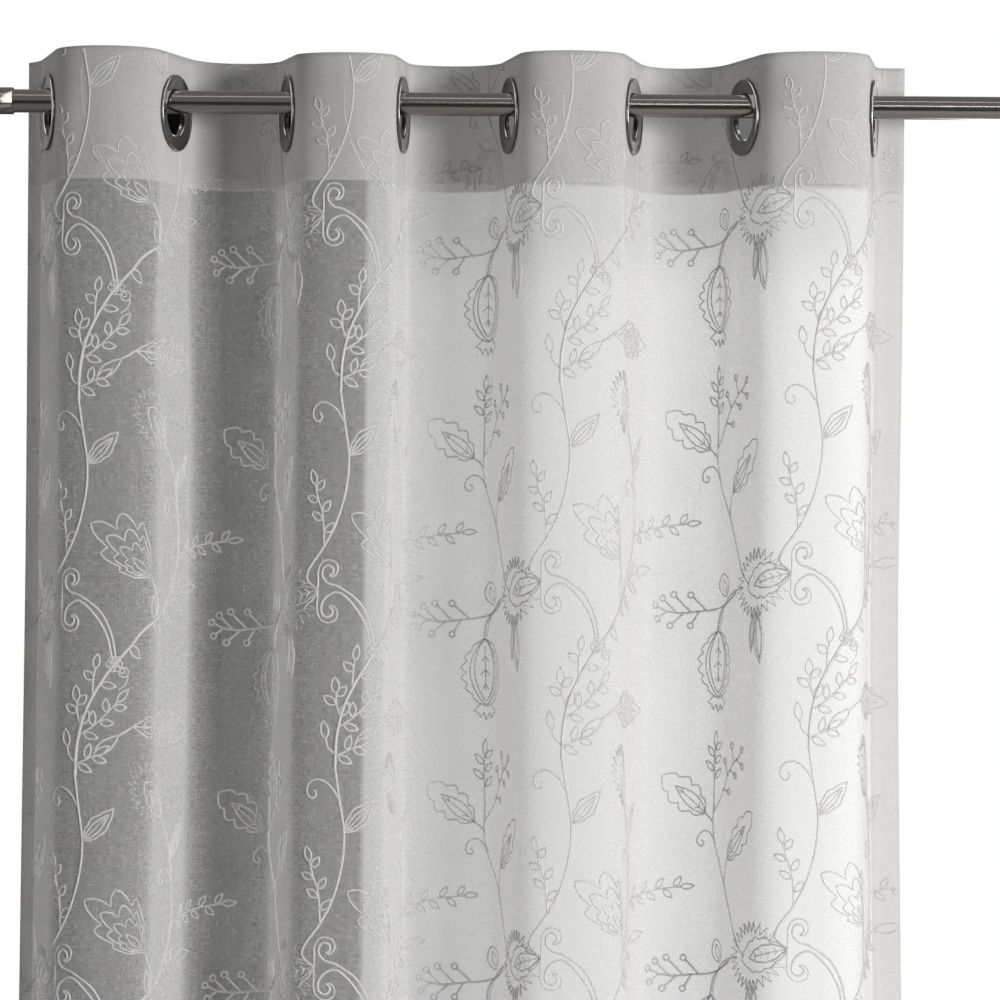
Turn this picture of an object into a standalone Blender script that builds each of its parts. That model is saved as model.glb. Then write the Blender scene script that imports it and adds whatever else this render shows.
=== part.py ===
"""A sheer voile curtain with eight metal eyelets, hanging in folds on its rod.

Metres, +Z up. X runs along the rod, the face of the cloth looks towards -Y, and the origin
is the middle of the rod. The cloth is worked out from above: it runs straight through each
eyelet and bends round between them, with the real length of cloth from eyelet to eyelet.
"""

from collections import namedtuple
from math import atan2, cos, pi, radians, sin

import bmesh
import bpy
import numpy as np

# Rod and end caps
ROD_RADIUS = 0.010
ROD_WALL = 0.001
ROD_LENGTH = 1.000
CAP_RADIUS = 0.0116
CAP_LENGTH = 0.040
CAP_END = 0.004
CAP_CHAMFER = 0.001

# Voile panel, flat sizes
PANEL_WIDTH = 1.372
PANEL_HEIGHT = 2.134
HEADING_DEPTH = 0.112
SIDE_HEM = 0.025
BOTTOM_HEM = 0.075
CLOTH_THICKNESS = 0.0010
HEM_THICKNESS = 0.0016
HEM_STEP = 0.003
TOP_ABOVE_ROD = 0.041

# Eyelets
EYELET_PITCH = 0.178
EYELET_INNER = 0.0200
EYELET_OUTER = 0.0330
EYELET_DOME = 0.0024
LIP_WIDTH = 0.0020
SHOULDER_WIDTH = 0.0045
RIM_WIDTH = 0.0012
LIP_HEIGHT = 0.5 * EYELET_DOME
RIM_HEIGHT = 0.6 * EYELET_DOME
BARREL_WALL = 0.0012
BARREL_PAST_SEAT = 0.7 * EYELET_DOME
SEAT_GAP = 0.0004
STRAIGHT_HALF = 0.034

# Clearance between pieces that touch, and how far the hole punches pass the cloth
GAP = 0.0003
PUNCH_REACH = 0.010

# Steps of the meshes
TURNED_STEPS = 24
ROD_STEPS = 40
FOLD_STEPS = 12
MARGIN_STEPS = 4
FINE_STEPS = 200
SMOOTH_ANGLE = radians(35)

# The least and most length of a fold's curve handles, halved towards the right fullness
HANDLE_RANGE = (0.005, 0.200)
HALVINGS = 40

# One row for each eyelet, left to right: its place along the rod, and how many degrees the
# cloth there is turned from running straight front to back.
EyeletRow = namedtuple("EyeletRow", "x turn")
EYELETS = (
    EyeletRow(-0.4290, 16.6),
    EyeletRow(-0.3215, 17.3),
    EyeletRow(-0.2230, 13.0),
    EyeletRow(-0.1265, 6.8),
    EyeletRow(-0.0321, 12.4),
    EyeletRow(0.0720, 13.2),
    EyeletRow(0.1691, 19.7),
    EyeletRow(0.2782, 10.5),
)

# The free edges curl away from their last eyelet: the turn that each has reached at its end,
# and the share of the loose margin in which it turns.
MarginRow = namedtuple("MarginRow", "end_turn bend_share")
LEFT_MARGIN = MarginRow(48.0, 1.0)
RIGHT_MARGIN = MarginRow(90.0, 0.35)

# One row for the left edge, each fold from left to right and the right edge. The top edge
# dips by top_dip. Lower down the fold leans sideways by lean at the hem, wavers by waver,
# and its depth changes by the share swell.
FoldRow = namedtuple("FoldRow", "top_dip lean waver phase swell")
FOLDS = (
    FoldRow(0.0015, -0.006, 0.0010, 40.0, -0.10),
    FoldRow(0.0000, -0.010, 0.0022, 0.0, 0.06),
    FoldRow(0.0000, 0.004, 0.0030, 70.0, -0.12),
    FoldRow(0.0045, -0.008, 0.0020, 150.0, 0.10),
    FoldRow(0.0010, 0.006, 0.0028, 210.0, -0.08),
    FoldRow(0.0010, 0.010, 0.0024, 290.0, 0.05),
    FoldRow(0.0010, -0.004, 0.0030, 20.0, -0.14),
    FoldRow(0.0000, 0.008, 0.0022, 110.0, 0.08),
    FoldRow(0.0025, 0.012, 0.0030, 180.0, -0.05),
)
WAVER_LENGTH = 1.30
WAVER_START = 0.35
LEAN_POWER = 1.5

# Heights of the rows of the cloth mesh between the two hems, as drops below the heading.
ROW_DROPS = (0.10, 0.25, 0.42, 0.60, 0.80, 1.00, 1.20, 1.40, 1.60, 1.78)

# Base colour, roughness and metallic value of each finish
VOILE_LOOK = ((0.82, 0.82, 0.80), 0.85, 0.0)
GUNMETAL_LOOK = ((0.055, 0.053, 0.052), 0.35, 1.0)
NICKEL_LOOK = ((0.30, 0.285, 0.27), 0.32, 1.0)


def clear_scene():
    for old in list(bpy.data.objects):
        bpy.data.objects.remove(old, do_unlink=True)


def finish_of(name, look):
    colour, roughness, metallic = look
    material = bpy.data.materials.new(name)
    material.use_nodes = True
    shader = material.node_tree.nodes["Principled BSDF"]
    shader.inputs["Base Color"].default_value = (*colour, 1.0)
    shader.inputs["Roughness"].default_value = roughness
    shader.inputs["Metallic"].default_value = metallic
    return material


def add_object(name, mesh, material):
    mesh.materials.append(material)
    obj = bpy.data.objects.new(name, mesh)
    bpy.context.scene.collection.objects.link(obj)
    return obj


def turned_mesh(name, profile, steps, closed):
    """Turns a profile of (radius, height) points once round Z. A closed profile is a ring."""
    bm = bmesh.new()
    points = [bm.verts.new((radius, 0.0, height)) for radius, height in profile]
    pairs = list(zip(points, points[1:]))
    if closed:
        pairs.append((points[-1], points[0]))
    edges = [bm.edges.new(pair) for pair in pairs]
    bmesh.ops.spin(
        bm,
        geom=points + edges,
        cent=(0, 0, 0),
        axis=(0, 0, 1),
        angle=2 * pi,
        steps=steps,
        use_merge=True,
    )
    bmesh.ops.remove_doubles(bm, verts=bm.verts, dist=1e-6)
    bmesh.ops.recalc_face_normals(bm, faces=bm.faces)
    mesh = bpy.data.meshes.new(name)
    bm.to_mesh(mesh)
    bm.free()
    mesh.shade_smooth()
    mesh.set_sharp_from_angle(angle=SMOOTH_ANGLE)
    return mesh


def build_rod(material):
    half = ROD_LENGTH / 2 - CAP_END - GAP
    bore = ROD_RADIUS - ROD_WALL
    profile = ((ROD_RADIUS, half), (ROD_RADIUS, -half), (bore, -half), (bore, half))
    rod = add_object("rod", turned_mesh("rod", profile, ROD_STEPS, True), material)
    rod.rotation_euler = (0, pi / 2, 0)


def build_cap(name, side, material):
    """A turned cup that closes one end of the rod. side is -1 on the left, 1 on the right."""
    bore = ROD_RADIUS + GAP
    profile = (
        (0.0, 0.0),
        (CAP_RADIUS - CAP_CHAMFER, 0.0),
        (CAP_RADIUS, -CAP_CHAMFER),
        (CAP_RADIUS, -CAP_LENGTH),
        (bore, -CAP_LENGTH),
        (bore, -CAP_END),
        (0.0, -CAP_END),
    )
    cap = add_object(name, turned_mesh(name, profile, ROD_STEPS, False), material)
    cap.location = (side * ROD_LENGTH / 2, 0, 0)
    cap.rotation_euler = (0, side * pi / 2, 0)


def cloth_way(index):
    """The direction of the cloth through an eyelet, from above. The first leads to the front."""
    turn = radians(EYELETS[index].turn)
    return np.array((sin(turn), -cos(turn) if index % 2 == 0 else cos(turn)))


def eyelet_centre(index):
    return np.array((EYELETS[index].x, 0.0))


def run_lengths(points):
    steps = np.linalg.norm(np.diff(points, axis=0), axis=1)
    return np.concatenate(([0.0], np.cumsum(steps)))


def bend(start, start_way, end, end_way, handle):
    """A cubic curve between two points. Longer handles make a fuller fold."""
    t = np.linspace(0, 1, FINE_STEPS + 1)[:, None]
    near, far = start + handle * start_way, end - handle * end_way
    return (
        (1 - t) ** 3 * start
        + 3 * (1 - t) ** 2 * t * near
        + 3 * (1 - t) * t**2 * far
        + t**3 * end
    )


def fold_between(index):
    """The cloth from one eyelet's straight stretch to the next one's, at its true length."""
    start_way, end_way = cloth_way(index), cloth_way(index + 1)
    start = eyelet_centre(index) + STRAIGHT_HALF * start_way
    end = eyelet_centre(index + 1) - STRAIGHT_HALF * end_way
    length = EYELET_PITCH - 2 * STRAIGHT_HALF
    low, high = HANDLE_RANGE
    for _ in range(HALVINGS):
        handle = (low + high) / 2
        short = run_lengths(bend(start, start_way, end, end_way, handle))[-1] < length
        low, high = (handle, high) if short else (low, handle)
    return bend(start, start_way, end, end_way, handle)


def margin_from(index, row):
    """The loose cloth outside an end eyelet, from its straight stretch to the free edge."""
    outward = -1 if index == 0 else 1
    start = eyelet_centre(index) + outward * STRAIGHT_HALF * cloth_way(index)
    step = (side_margin() - STRAIGHT_HALF) / FINE_STEPS
    points = [start]
    for i in range(FINE_STEPS):
        share = min((i + 0.5) / FINE_STEPS / row.bend_share, 1.0)
        turn = radians(EYELETS[index].turn + (row.end_turn - EYELETS[index].turn) * share)
        points.append(points[-1] + step * np.array((outward * sin(turn), cos(turn))))
    return np.array(points)


def side_margin():
    return (PANEL_WIDTH - (len(EYELETS) - 1) * EYELET_PITCH) / 2


def plan_line():
    """The whole heading from above, left to right, and the length of cloth up to each point."""
    last = len(EYELETS) - 1
    stretches = [margin_from(0, LEFT_MARGIN)[::-1]]
    stretches += [fold_between(index) for index in range(last)]
    stretches.append(margin_from(last, RIGHT_MARGIN))
    points = np.concatenate(stretches)
    lengths = run_lengths(points)
    return points, lengths * PANEL_WIDTH / lengths[-1]


def column_places():
    """How far along the cloth each column of the mesh is."""
    margin = side_margin()
    edge = margin - STRAIGHT_HALF
    left = np.linspace(0, edge, MARGIN_STEPS + 1)
    left = np.concatenate((left, (SIDE_HEM, SIDE_HEM + HEM_STEP)))
    places = [left, PANEL_WIDTH - left]
    for index in range(len(EYELETS)):
        middle = margin + index * EYELET_PITCH
        places.append((middle - STRAIGHT_HALF, middle, middle + STRAIGHT_HALF))
        if index:
            start = middle - EYELET_PITCH + STRAIGHT_HALF
            places.append(np.linspace(start, middle - STRAIGHT_HALF, FOLD_STEPS + 1))
    return np.unique(np.round(np.concatenate(places), 5))


def row_heights():
    top = TOP_ABOVE_ROD
    seam = top - HEADING_DEPTH
    hem = top - PANEL_HEIGHT + BOTTOM_HEM
    body = [seam - drop for drop in ROW_DROPS]
    return [top, seam, seam - HEM_STEP, *body, hem + HEM_STEP, hem, top - PANEL_HEIGHT]


def fold_values(column, places):
    """A column of the fold table, eased from each fold to the next along the cloth."""
    middles = side_margin() + EYELET_PITCH * (np.arange(len(EYELETS) - 1) + 0.5)
    knots = np.concatenate(([0.0], middles, [PANEL_WIDTH]))
    values = np.array([getattr(row, column) for row in FOLDS])
    position = np.interp(places, knots, np.arange(len(knots)))
    below = np.minimum(position.astype(int), len(knots) - 2)
    share = (1 - np.cos(pi * (position - below))) / 2
    return values[below] * (1 - share) + values[below + 1] * share


def cloth_points(places, height, line, lengths):
    """The points of one row of the cloth, hanging from the heading's plan."""
    x = np.interp(places, lengths, line[:, 0])
    y = np.interp(places, lengths, line[:, 1])
    top, foot = TOP_ABOVE_ROD, TOP_ABOVE_ROD - PANEL_HEIGHT
    drop = max(0.0, top - HEADING_DEPTH - height)
    fall = drop / (top - HEADING_DEPTH - foot)
    loose = min(drop / WAVER_START, 1.0)
    angle = 2 * pi * drop / WAVER_LENGTH + np.radians(fold_values("phase", places))
    x = x + fold_values("lean", places) * fall**LEAN_POWER
    x = x + fold_values("waver", places) * loose * np.sin(angle)
    y = y * (1 + fold_values("swell", places) * fall)
    near_top = max(0.0, (height - (top - HEADING_DEPTH)) / HEADING_DEPTH)
    z = height - fold_values("top_dip", places) * near_top
    return np.column_stack((x, y, z))


def in_hem(place, height):
    heading = height >= TOP_ABOVE_ROD - HEADING_DEPTH - 1e-6
    foot = height <= TOP_ABOVE_ROD - PANEL_HEIGHT + BOTTOM_HEM + 1e-6
    side = min(place, PANEL_WIDTH - place) <= SIDE_HEM + 1e-6
    return heading or foot or side


def build_cloth(material):
    """The panel as one sheet, doubled at its hems, with a round hole for each eyelet."""
    line, lengths = plan_line()
    places, heights = column_places(), row_heights()
    bm = bmesh.new()
    rows = [
        [bm.verts.new(point) for point in cloth_points(places, height, line, lengths)]
        for height in heights
    ]
    for upper, lower in zip(rows, rows[1:]):
        for k in range(len(places) - 1):
            bm.faces.new((upper[k], lower[k], lower[k + 1], upper[k + 1]))
    mesh = bpy.data.meshes.new("voile_panel")
    bm.to_mesh(mesh)
    bm.free()
    panel = add_object("voile_panel", mesh, material)

    doubled = panel.vertex_groups.new(name="hems")
    for row, height in enumerate(heights):
        for column, place in enumerate(places):
            if in_hem(place, height):
                doubled.add([row * len(places) + column], 1.0, "REPLACE")
    sheet = panel.modifiers.new("cloth thickness", "SOLIDIFY")
    sheet.thickness = HEM_THICKNESS
    sheet.offset = 0.0
    sheet.vertex_group = doubled.name
    sheet.thickness_vertex_group = CLOTH_THICKNESS / HEM_THICKNESS

    cut = panel.modifiers.new("eyelet holes", "BOOLEAN")
    cut.operation = "DIFFERENCE"
    cut.solver = "EXACT"
    cut.object = build_hole_cutter()


def stand_at_eyelet(obj, index):
    """Places a piece turned round Z with its axis square to the cloth at an eyelet."""
    way = cloth_way(index)
    face = np.array((way[1], -way[0]))
    obj.location = (EYELETS[index].x, 0, -eyelet_drop())
    obj.rotation_euler = (pi / 2, 0, atan2(face[0], -face[1]))


def eyelet_drop():
    """How far an eyelet's centre hangs below the rod's axis."""
    return EYELET_INNER - ROD_RADIUS - SEAT_GAP


def build_hole_cutter():
    """Round punches, one at each eyelet, joined in one hidden object."""
    radius = EYELET_INNER + BARREL_WALL + 2 * GAP
    profile = (
        (0.0, PUNCH_REACH),
        (radius, PUNCH_REACH),
        (radius, -PUNCH_REACH),
        (0.0, -PUNCH_REACH),
    )
    bm = bmesh.new()
    for index in range(len(EYELETS)):
        punch = bpy.data.objects.new("punch", turned_mesh("punch", profile, TURNED_STEPS, False))
        stand_at_eyelet(punch, index)
        punch.data.transform(punch.matrix_basis)
        bm.from_mesh(punch.data)
        bpy.data.objects.remove(punch)
    mesh = bpy.data.meshes.new("eyelet_punches")
    bm.to_mesh(mesh)
    bm.free()
    cutter = bpy.data.objects.new("eyelet_punches", mesh)
    bpy.context.scene.collection.objects.link(cutter)
    cutter.hide_render = True
    cutter.display_type = "WIRE"
    return cutter


def face_profile():
    """The half with the barrel: a domed flange on the face of the cloth."""
    seat = HEM_THICKNESS / 2 + GAP
    crown = seat + EYELET_DOME
    barrel_end = -(seat + BARREL_PAST_SEAT)
    barrel = EYELET_INNER + BARREL_WALL
    return (
        (EYELET_INNER, barrel_end),
        (EYELET_INNER, seat + LIP_HEIGHT),
        (EYELET_INNER + LIP_WIDTH, crown),
        (EYELET_OUTER - SHOULDER_WIDTH, crown),
        (EYELET_OUTER - RIM_WIDTH, seat + RIM_HEIGHT),
        (EYELET_OUTER, seat),
        (barrel, seat),
        (barrel, barrel_end),
    )


def back_profile():
    """The closing ring on the back of the cloth, a little clear of the barrel."""
    seat = HEM_THICKNESS / 2 + GAP
    crown = seat + EYELET_DOME
    inner = EYELET_INNER + BARREL_WALL + GAP
    return (
        (inner, -seat),
        (EYELET_OUTER, -seat),
        (EYELET_OUTER - RIM_WIDTH, -(seat + RIM_HEIGHT)),
        (EYELET_OUTER - SHOULDER_WIDTH, -crown),
        (inner + RIM_WIDTH, -crown),
        (inner, -(seat + RIM_HEIGHT)),
    )


def build_eyelets(material):
    face = turned_mesh("eyelet_face", face_profile(), TURNED_STEPS, True)
    back = turned_mesh("eyelet_back", back_profile(), TURNED_STEPS, True)
    for index in range(len(EYELETS)):
        for half, mesh in (("face", face), ("back", back)):
            ring = add_object(f"eyelet_{index + 1}_{half}", mesh.copy(), material)
            stand_at_eyelet(ring, index)


def main():
    clear_scene()
    voile = finish_of("voile", VOILE_LOOK)
    gunmetal = finish_of("gunmetal", GUNMETAL_LOOK)
    nickel = finish_of("brushed_nickel", NICKEL_LOOK)
    build_cloth(voile)
    build_eyelets(gunmetal)
    build_rod(nickel)
    build_cap("cap_left", -1, nickel)
    build_cap("cap_right", 1, nickel)


main()
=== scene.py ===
# %% [markdown]
# A sheer voile curtain with a corded vine, hanging by eight metal eyelets on its rod.
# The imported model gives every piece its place. This lesson dresses it: one thin sheet of
# voile that follows the folds, the embroidery as real raised cord, the rows of stitching,
# and finely turned eyelets, rod and caps. All sizes are metres unless a name says otherwise.

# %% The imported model
from collections import namedtuple
from math import atan2, cos, pi, radians, sin

import bmesh
import bpy
import numpy as np
from mathutils import Matrix, Vector


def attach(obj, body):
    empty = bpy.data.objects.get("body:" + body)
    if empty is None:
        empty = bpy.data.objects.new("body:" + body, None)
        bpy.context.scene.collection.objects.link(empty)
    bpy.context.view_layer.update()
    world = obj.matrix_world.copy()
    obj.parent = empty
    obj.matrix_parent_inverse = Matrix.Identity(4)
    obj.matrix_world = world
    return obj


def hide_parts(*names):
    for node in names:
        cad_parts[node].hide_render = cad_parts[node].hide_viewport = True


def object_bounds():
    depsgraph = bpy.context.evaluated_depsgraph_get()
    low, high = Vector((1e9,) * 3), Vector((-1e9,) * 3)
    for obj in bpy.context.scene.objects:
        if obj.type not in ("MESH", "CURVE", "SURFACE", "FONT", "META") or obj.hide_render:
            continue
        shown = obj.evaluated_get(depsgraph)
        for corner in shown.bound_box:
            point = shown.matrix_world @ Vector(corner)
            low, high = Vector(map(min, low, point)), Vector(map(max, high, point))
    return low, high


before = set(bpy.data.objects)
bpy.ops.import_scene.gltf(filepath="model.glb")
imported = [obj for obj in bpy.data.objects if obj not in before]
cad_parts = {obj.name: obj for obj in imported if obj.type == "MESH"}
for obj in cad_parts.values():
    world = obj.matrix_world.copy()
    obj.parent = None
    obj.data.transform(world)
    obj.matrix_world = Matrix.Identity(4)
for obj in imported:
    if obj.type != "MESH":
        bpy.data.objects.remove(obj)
cad_box = [list(corner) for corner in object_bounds()]
BODY = "root"
print("packed model's box:", cad_box)

# %% [markdown]
# The camera stands level, straight in front of the heading, far enough back that the rod
# keeps nearly the same thickness from end to end. It leans by less than half a degree,
# which is what makes the rod run slightly downhill.

# %% Camera
PHOTO_WIDTH_AT_ROD = 0.86
SENSOR = 36.0
CAMERA_PLACE = (-0.039, -3.1, -0.340)
CAMERA_ROLL = 0.45
CLEAR_LAYERS = 28
BOUNCES = 4
SOFT_BOUNCES = 1

scene = bpy.context.scene
camera = bpy.data.objects.new("camera", bpy.data.cameras.new("camera"))
camera.data.sensor_width = SENSOR
camera.data.lens = SENSOR * -CAMERA_PLACE[1] / PHOTO_WIDTH_AT_ROD
camera.matrix_world = (
    Matrix.Translation(CAMERA_PLACE)
    @ Matrix.Rotation(radians(90), 4, "X")
    @ Matrix.Rotation(radians(CAMERA_ROLL), 4, "Z")
)
scene.collection.objects.link(camera)
scene.camera = camera
scene.view_settings.view_transform = "Standard"
scene.cycles.transparent_max_bounces = CLEAR_LAYERS
scene.cycles.max_bounces = BOUNCES
scene.cycles.diffuse_bounces = SOFT_BOUNCES
print("lens:", round(camera.data.lens, 1), "mm")

# %% [markdown]
# Every finish below is a small tree of nodes, so two helpers keep the trees readable: one
# starts a material and returns its tree, one adds a node with its settings and links.

# %% Node helpers
def new_tree(name):
    """A new material with an empty node tree and its output node."""
    material = bpy.data.materials.new(name)
    material.use_nodes = True
    tree = material.node_tree
    tree.nodes.clear()
    output = tree.nodes.new("ShaderNodeOutputMaterial")
    return material, tree, output


def node(tree, kind, inputs=None, **settings):
    """Adds a node. An input is given by name or number, as a value or as a socket to link."""
    made = tree.nodes.new(kind)
    for name, value in settings.items():
        setattr(made, name, value)
    for key, value in (inputs or {}).items():
        if isinstance(value, bpy.types.NodeSocket):
            tree.links.new(value, made.inputs[key])
        else:
            made.inputs[key].default_value = value
    return made


def maths(tree, operation, *values, clamp=False):
    """The result of one maths node on numbers or sockets."""
    made = node(tree, "ShaderNodeMath", dict(enumerate(values)), operation=operation)
    made.use_clamp = clamp
    return made.outputs[0]


# %% [markdown]
# Sheer cloth looks dark where what lies behind it is dark, and pale where daylight comes
# through. A stage card behind the curtain does that here. It shows only through cloth,
# never bare, so the picture stays white around the curtain. A pale floor lies below.

# %% Stage
WHITE = (1.0, 1.0, 1.0, 1.0)
FLOOR_RADIUS = 6.0
FLOOR_STEPS = 96
FLOOR_DROP = 0.03
CARD_BEHIND = 0.55
CARD_HALF_WIDTH = 0.62
CARD_TOP = 0.40
CARD_BOTTOM = -2.20
ToneRow = namedtuple("ToneRow", "across level")
CARD_TONES = (
    ToneRow(-0.179, 0.004),
    ToneRow(-0.173, 0.36),
    ToneRow(-0.110, 0.50),
    ToneRow(0.020, 0.62),
    ToneRow(0.140, 0.75),
    ToneRow(0.290, 0.80),
    ToneRow(0.350, 1.06),
    ToneRow(0.560, 1.08),
)
CARD_HIGH_SHARE = 0.74
CARD_HIGH_FROM = -0.130
CARD_HIGH_TO = -0.065
CARD_DARK_TOP = 0.16
CARD_DARK_FROM = -0.030
CARD_DARK_TO = -0.018
FLOOR_COLOUR = (0.80, 0.79, 0.77, 1.0)
SOFT_LIGHT = 0.08
MIRRORED_ABOVE = 0.40
MIRRORED_BELOW = 0.08
MIRRORED_SIDES = 4.5
SIDES_FROM = 0.42
SIDES_BEFORE = 0.45
HORIZON = (-0.02, 0.06)

MirrorRow = namedtuple("MirrorRow", "name place width height level")
MIRROR_CARDS = (
    MirrorRow("upper", (0.1, -1.15, 1.70), 2.2, 0.12, 4.0),
    MirrorRow("level", (0.55, -3.0, 0.62), 1.10, 0.10, 14.0),
)


def add_piece(name, mesh):
    obj = bpy.data.objects.new(name, mesh)
    scene.collection.objects.link(obj)
    return obj


def flat_card(name, corners, material):
    """A plane for the stage. It is looked at, but lights nothing by itself."""
    material.cycles.emission_sampling = "NONE"
    mesh = bpy.data.meshes.new(name)
    mesh.from_pydata(corners, [], [(0, 1, 2, 3)])
    mesh.materials.append(material)
    card = add_piece(name, mesh)
    return card


def eased(tree, value, start, end):
    """0 where value is at start, 1 where it is at end."""
    ramp = {"Value": value, "From Min": start, "From Max": end}
    return node(tree, "ShaderNodeMapRange", ramp).outputs[0]


def card_level(tree):
    """How bright the card is: a step near the left, a slow rise to the right, dim at the top."""
    place = node(tree, "ShaderNodeTexCoord").outputs["Object"]
    parts = node(tree, "ShaderNodeSeparateXYZ", {0: place})
    across, up = parts.outputs["X"], parts.outputs["Z"]
    level = None
    for left, right in zip(CARD_TONES, CARD_TONES[1:]):
        share = eased(tree, across, left.across, right.across)
        before = left.level if level is None else level
        level = maths(tree, "MULTIPLY_ADD", share, right.level - left.level, before)
    high = eased(tree, up, CARD_HIGH_FROM, CARD_HIGH_TO)
    dimmed = maths(tree, "MULTIPLY_ADD", high, CARD_HIGH_SHARE - 1, 1.0)
    level = maths(tree, "MULTIPLY", level, dimmed)
    dark = eased(tree, up, CARD_DARK_FROM, CARD_DARK_TO)
    limit = maths(tree, "MULTIPLY_ADD", dark, CARD_DARK_TOP - 1, 1.0)
    return maths(tree, "MINIMUM", level, limit)


def card_material():
    """Emits its tones, but only to a look that has already passed through cloth."""
    material, tree, output = new_tree("stage_card")
    glow = node(tree, "ShaderNodeEmission", {"Strength": card_level(tree)})
    glow.inputs["Color"].default_value = WHITE
    path = node(tree, "ShaderNodeLightPath")
    through = maths(tree, "GREATER_THAN", path.outputs["Transparent Depth"], 0.5)
    front = maths(tree, "SUBTRACT", 1.0, node(tree, "ShaderNodeNewGeometry").outputs["Backfacing"])
    shown = maths(tree, "MULTIPLY", through, front)
    clear = node(tree, "ShaderNodeBsdfTransparent")
    mix = node(tree, "ShaderNodeMixShader", {0: shown, 1: clear.outputs[0], 2: glow.outputs[0]})
    tree.links.new(mix.outputs[0], output.inputs[0])
    return material


def add_card():
    corners = (
        (-CARD_HALF_WIDTH, CARD_BEHIND, CARD_BOTTOM),
        (CARD_HALF_WIDTH, CARD_BEHIND, CARD_BOTTOM),
        (CARD_HALF_WIDTH, CARD_BEHIND, CARD_TOP),
        (-CARD_HALF_WIDTH, CARD_BEHIND, CARD_TOP),
    )
    card = flat_card("stage_card", corners, card_material())
    card.visible_diffuse = False
    card.visible_glossy = False
    card.visible_shadow = False


def add_mirror_card(row):
    """A bright card that only the metal sees, turned to face the middle of the rod."""
    material, tree, output = new_tree(f"mirror_card_{row.name}")
    glow = node(tree, "ShaderNodeEmission", {"Strength": row.level})
    glow.inputs["Color"].default_value = WHITE
    tree.links.new(glow.outputs[0], output.inputs[0])
    place = Vector(row.place)
    turn = (-place).to_track_quat("Z", "Y").to_matrix()
    half_width, half_height = row.width / 2, row.height / 2
    corners = [
        place + turn @ Vector((x, y, 0))
        for x, y in (
            (-half_width, -half_height),
            (half_width, -half_height),
            (half_width, half_height),
            (-half_width, half_height),
        )
    ]
    card = flat_card(f"mirror_card_{row.name}", corners, material)
    card.visible_camera = False
    card.visible_diffuse = False
    card.visible_transmission = False
    card.visible_shadow = False


def add_floor():
    bm = bmesh.new()
    bmesh.ops.create_circle(bm, cap_ends=True, radius=FLOOR_RADIUS, segments=FLOOR_STEPS)
    bmesh.ops.translate(bm, verts=bm.verts, vec=(0, 0, cad_box[0][2] - FLOOR_DROP))
    mesh = bpy.data.meshes.new("stage_floor")
    bm.to_mesh(mesh)
    bm.free()
    material, tree, output = new_tree("stage_floor")
    shader = node(tree, "ShaderNodeBsdfDiffuse", {"Color": FLOOR_COLOUR})
    tree.links.new(shader.outputs[0], output.inputs[0])
    mesh.materials.append(material)
    add_piece("stage_floor", mesh)


def set_world():
    """White to the camera, a dim light to cloth, and to metal two tones with bright sides."""
    world = bpy.data.worlds.new("studio")
    world.use_nodes = True
    tree = world.node_tree
    tree.nodes.clear()
    output = tree.nodes.new("ShaderNodeOutputWorld")
    path = node(tree, "ShaderNodeLightPath")
    seen = node(tree, "ShaderNodeBackground", {"Strength": 1.0})
    seen.inputs["Color"].default_value = WHITE
    way = node(tree, "ShaderNodeTexCoord").outputs["Generated"]
    parts = node(tree, "ShaderNodeSeparateXYZ", {0: way})
    above = eased(tree, parts.outputs["Z"], *HORIZON)
    mirrored = maths(tree, "MULTIPLY_ADD", above, MIRRORED_ABOVE - MIRRORED_BELOW, MIRRORED_BELOW)
    aside = maths(tree, "ABSOLUTE", parts.outputs["X"])
    sides = maths(tree, "GREATER_THAN", aside, SIDES_FROM)
    before = maths(tree, "LESS_THAN", parts.outputs["Y"], SIDES_BEFORE)
    sides = maths(tree, "MULTIPLY", sides, before)
    mirrored = maths(tree, "MULTIPLY_ADD", sides, MIRRORED_SIDES, mirrored)
    more = maths(tree, "SUBTRACT", mirrored, SOFT_LIGHT)
    strength = maths(tree, "MULTIPLY_ADD", path.outputs["Is Glossy Ray"], more, SOFT_LIGHT)
    lit = node(tree, "ShaderNodeBackground", {"Strength": strength})
    lit.inputs["Color"].default_value = WHITE
    mix = node(
        tree,
        "ShaderNodeMixShader",
        {0: path.outputs["Is Camera Ray"], 1: lit.outputs[0], 2: seen.outputs[0]},
    )
    tree.links.new(mix.outputs[0], output.inputs[0])
    world.cycles.sampling_method = "NONE"
    scene.world = world


add_card()
add_floor()
set_world()
for row in MIRROR_CARDS:
    add_mirror_card(row)
print("stage: card, floor, world and", len(MIRROR_CARDS), "mirror cards")

# %% [markdown]
# One big soft lamp stands to the front right, so the forward folds catch it and throw a
# veiled shade on the folds behind them. A weak one fills from the left, and one behind
# glows through the voile on the right, as daylight does. The bright lines along the
# polished metal come from the stage's mirror cards and the world's bright sides.

# %% Lights
LampRow = namedtuple("LampRow", "name place aim width height power")
LAMPS = (
    LampRow("key", (1.95, -2.40, -0.10), (0.0, 0.0, -0.7), 0.9, 1.2, 98.0),
    LampRow("fill", (-2.4, -2.8, -0.4), (0.0, 0.0, -0.7), 1.4, 1.6, 9.0),
    LampRow("behind", (0.95, 1.45, -0.75), (0.30, 0.0, -0.75), 0.8, 2.0, 24.0),
)


def add_lamp(row):
    data = bpy.data.lights.new(row.name, "AREA")
    data.shape = "RECTANGLE"
    data.size, data.size_y = row.width, row.height
    data.energy = row.power
    lamp = bpy.data.objects.new(row.name, data)
    lamp.location = row.place
    lamp.rotation_euler = (Vector(row.aim) - Vector(row.place)).to_track_quat("-Z", "Y").to_euler()
    scene.collection.objects.link(lamp)


for row in LAMPS:
    add_lamp(row)
print("lamps:", len(LAMPS))

# %% [markdown]
# The heading is one line seen from above: straight through each eyelet, bending round
# between them, with the true length of cloth from eyelet to eyelet. Below it every fold
# hangs on, leaning and wavering a little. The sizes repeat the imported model's own, so the
# voile follows its solid.

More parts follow.
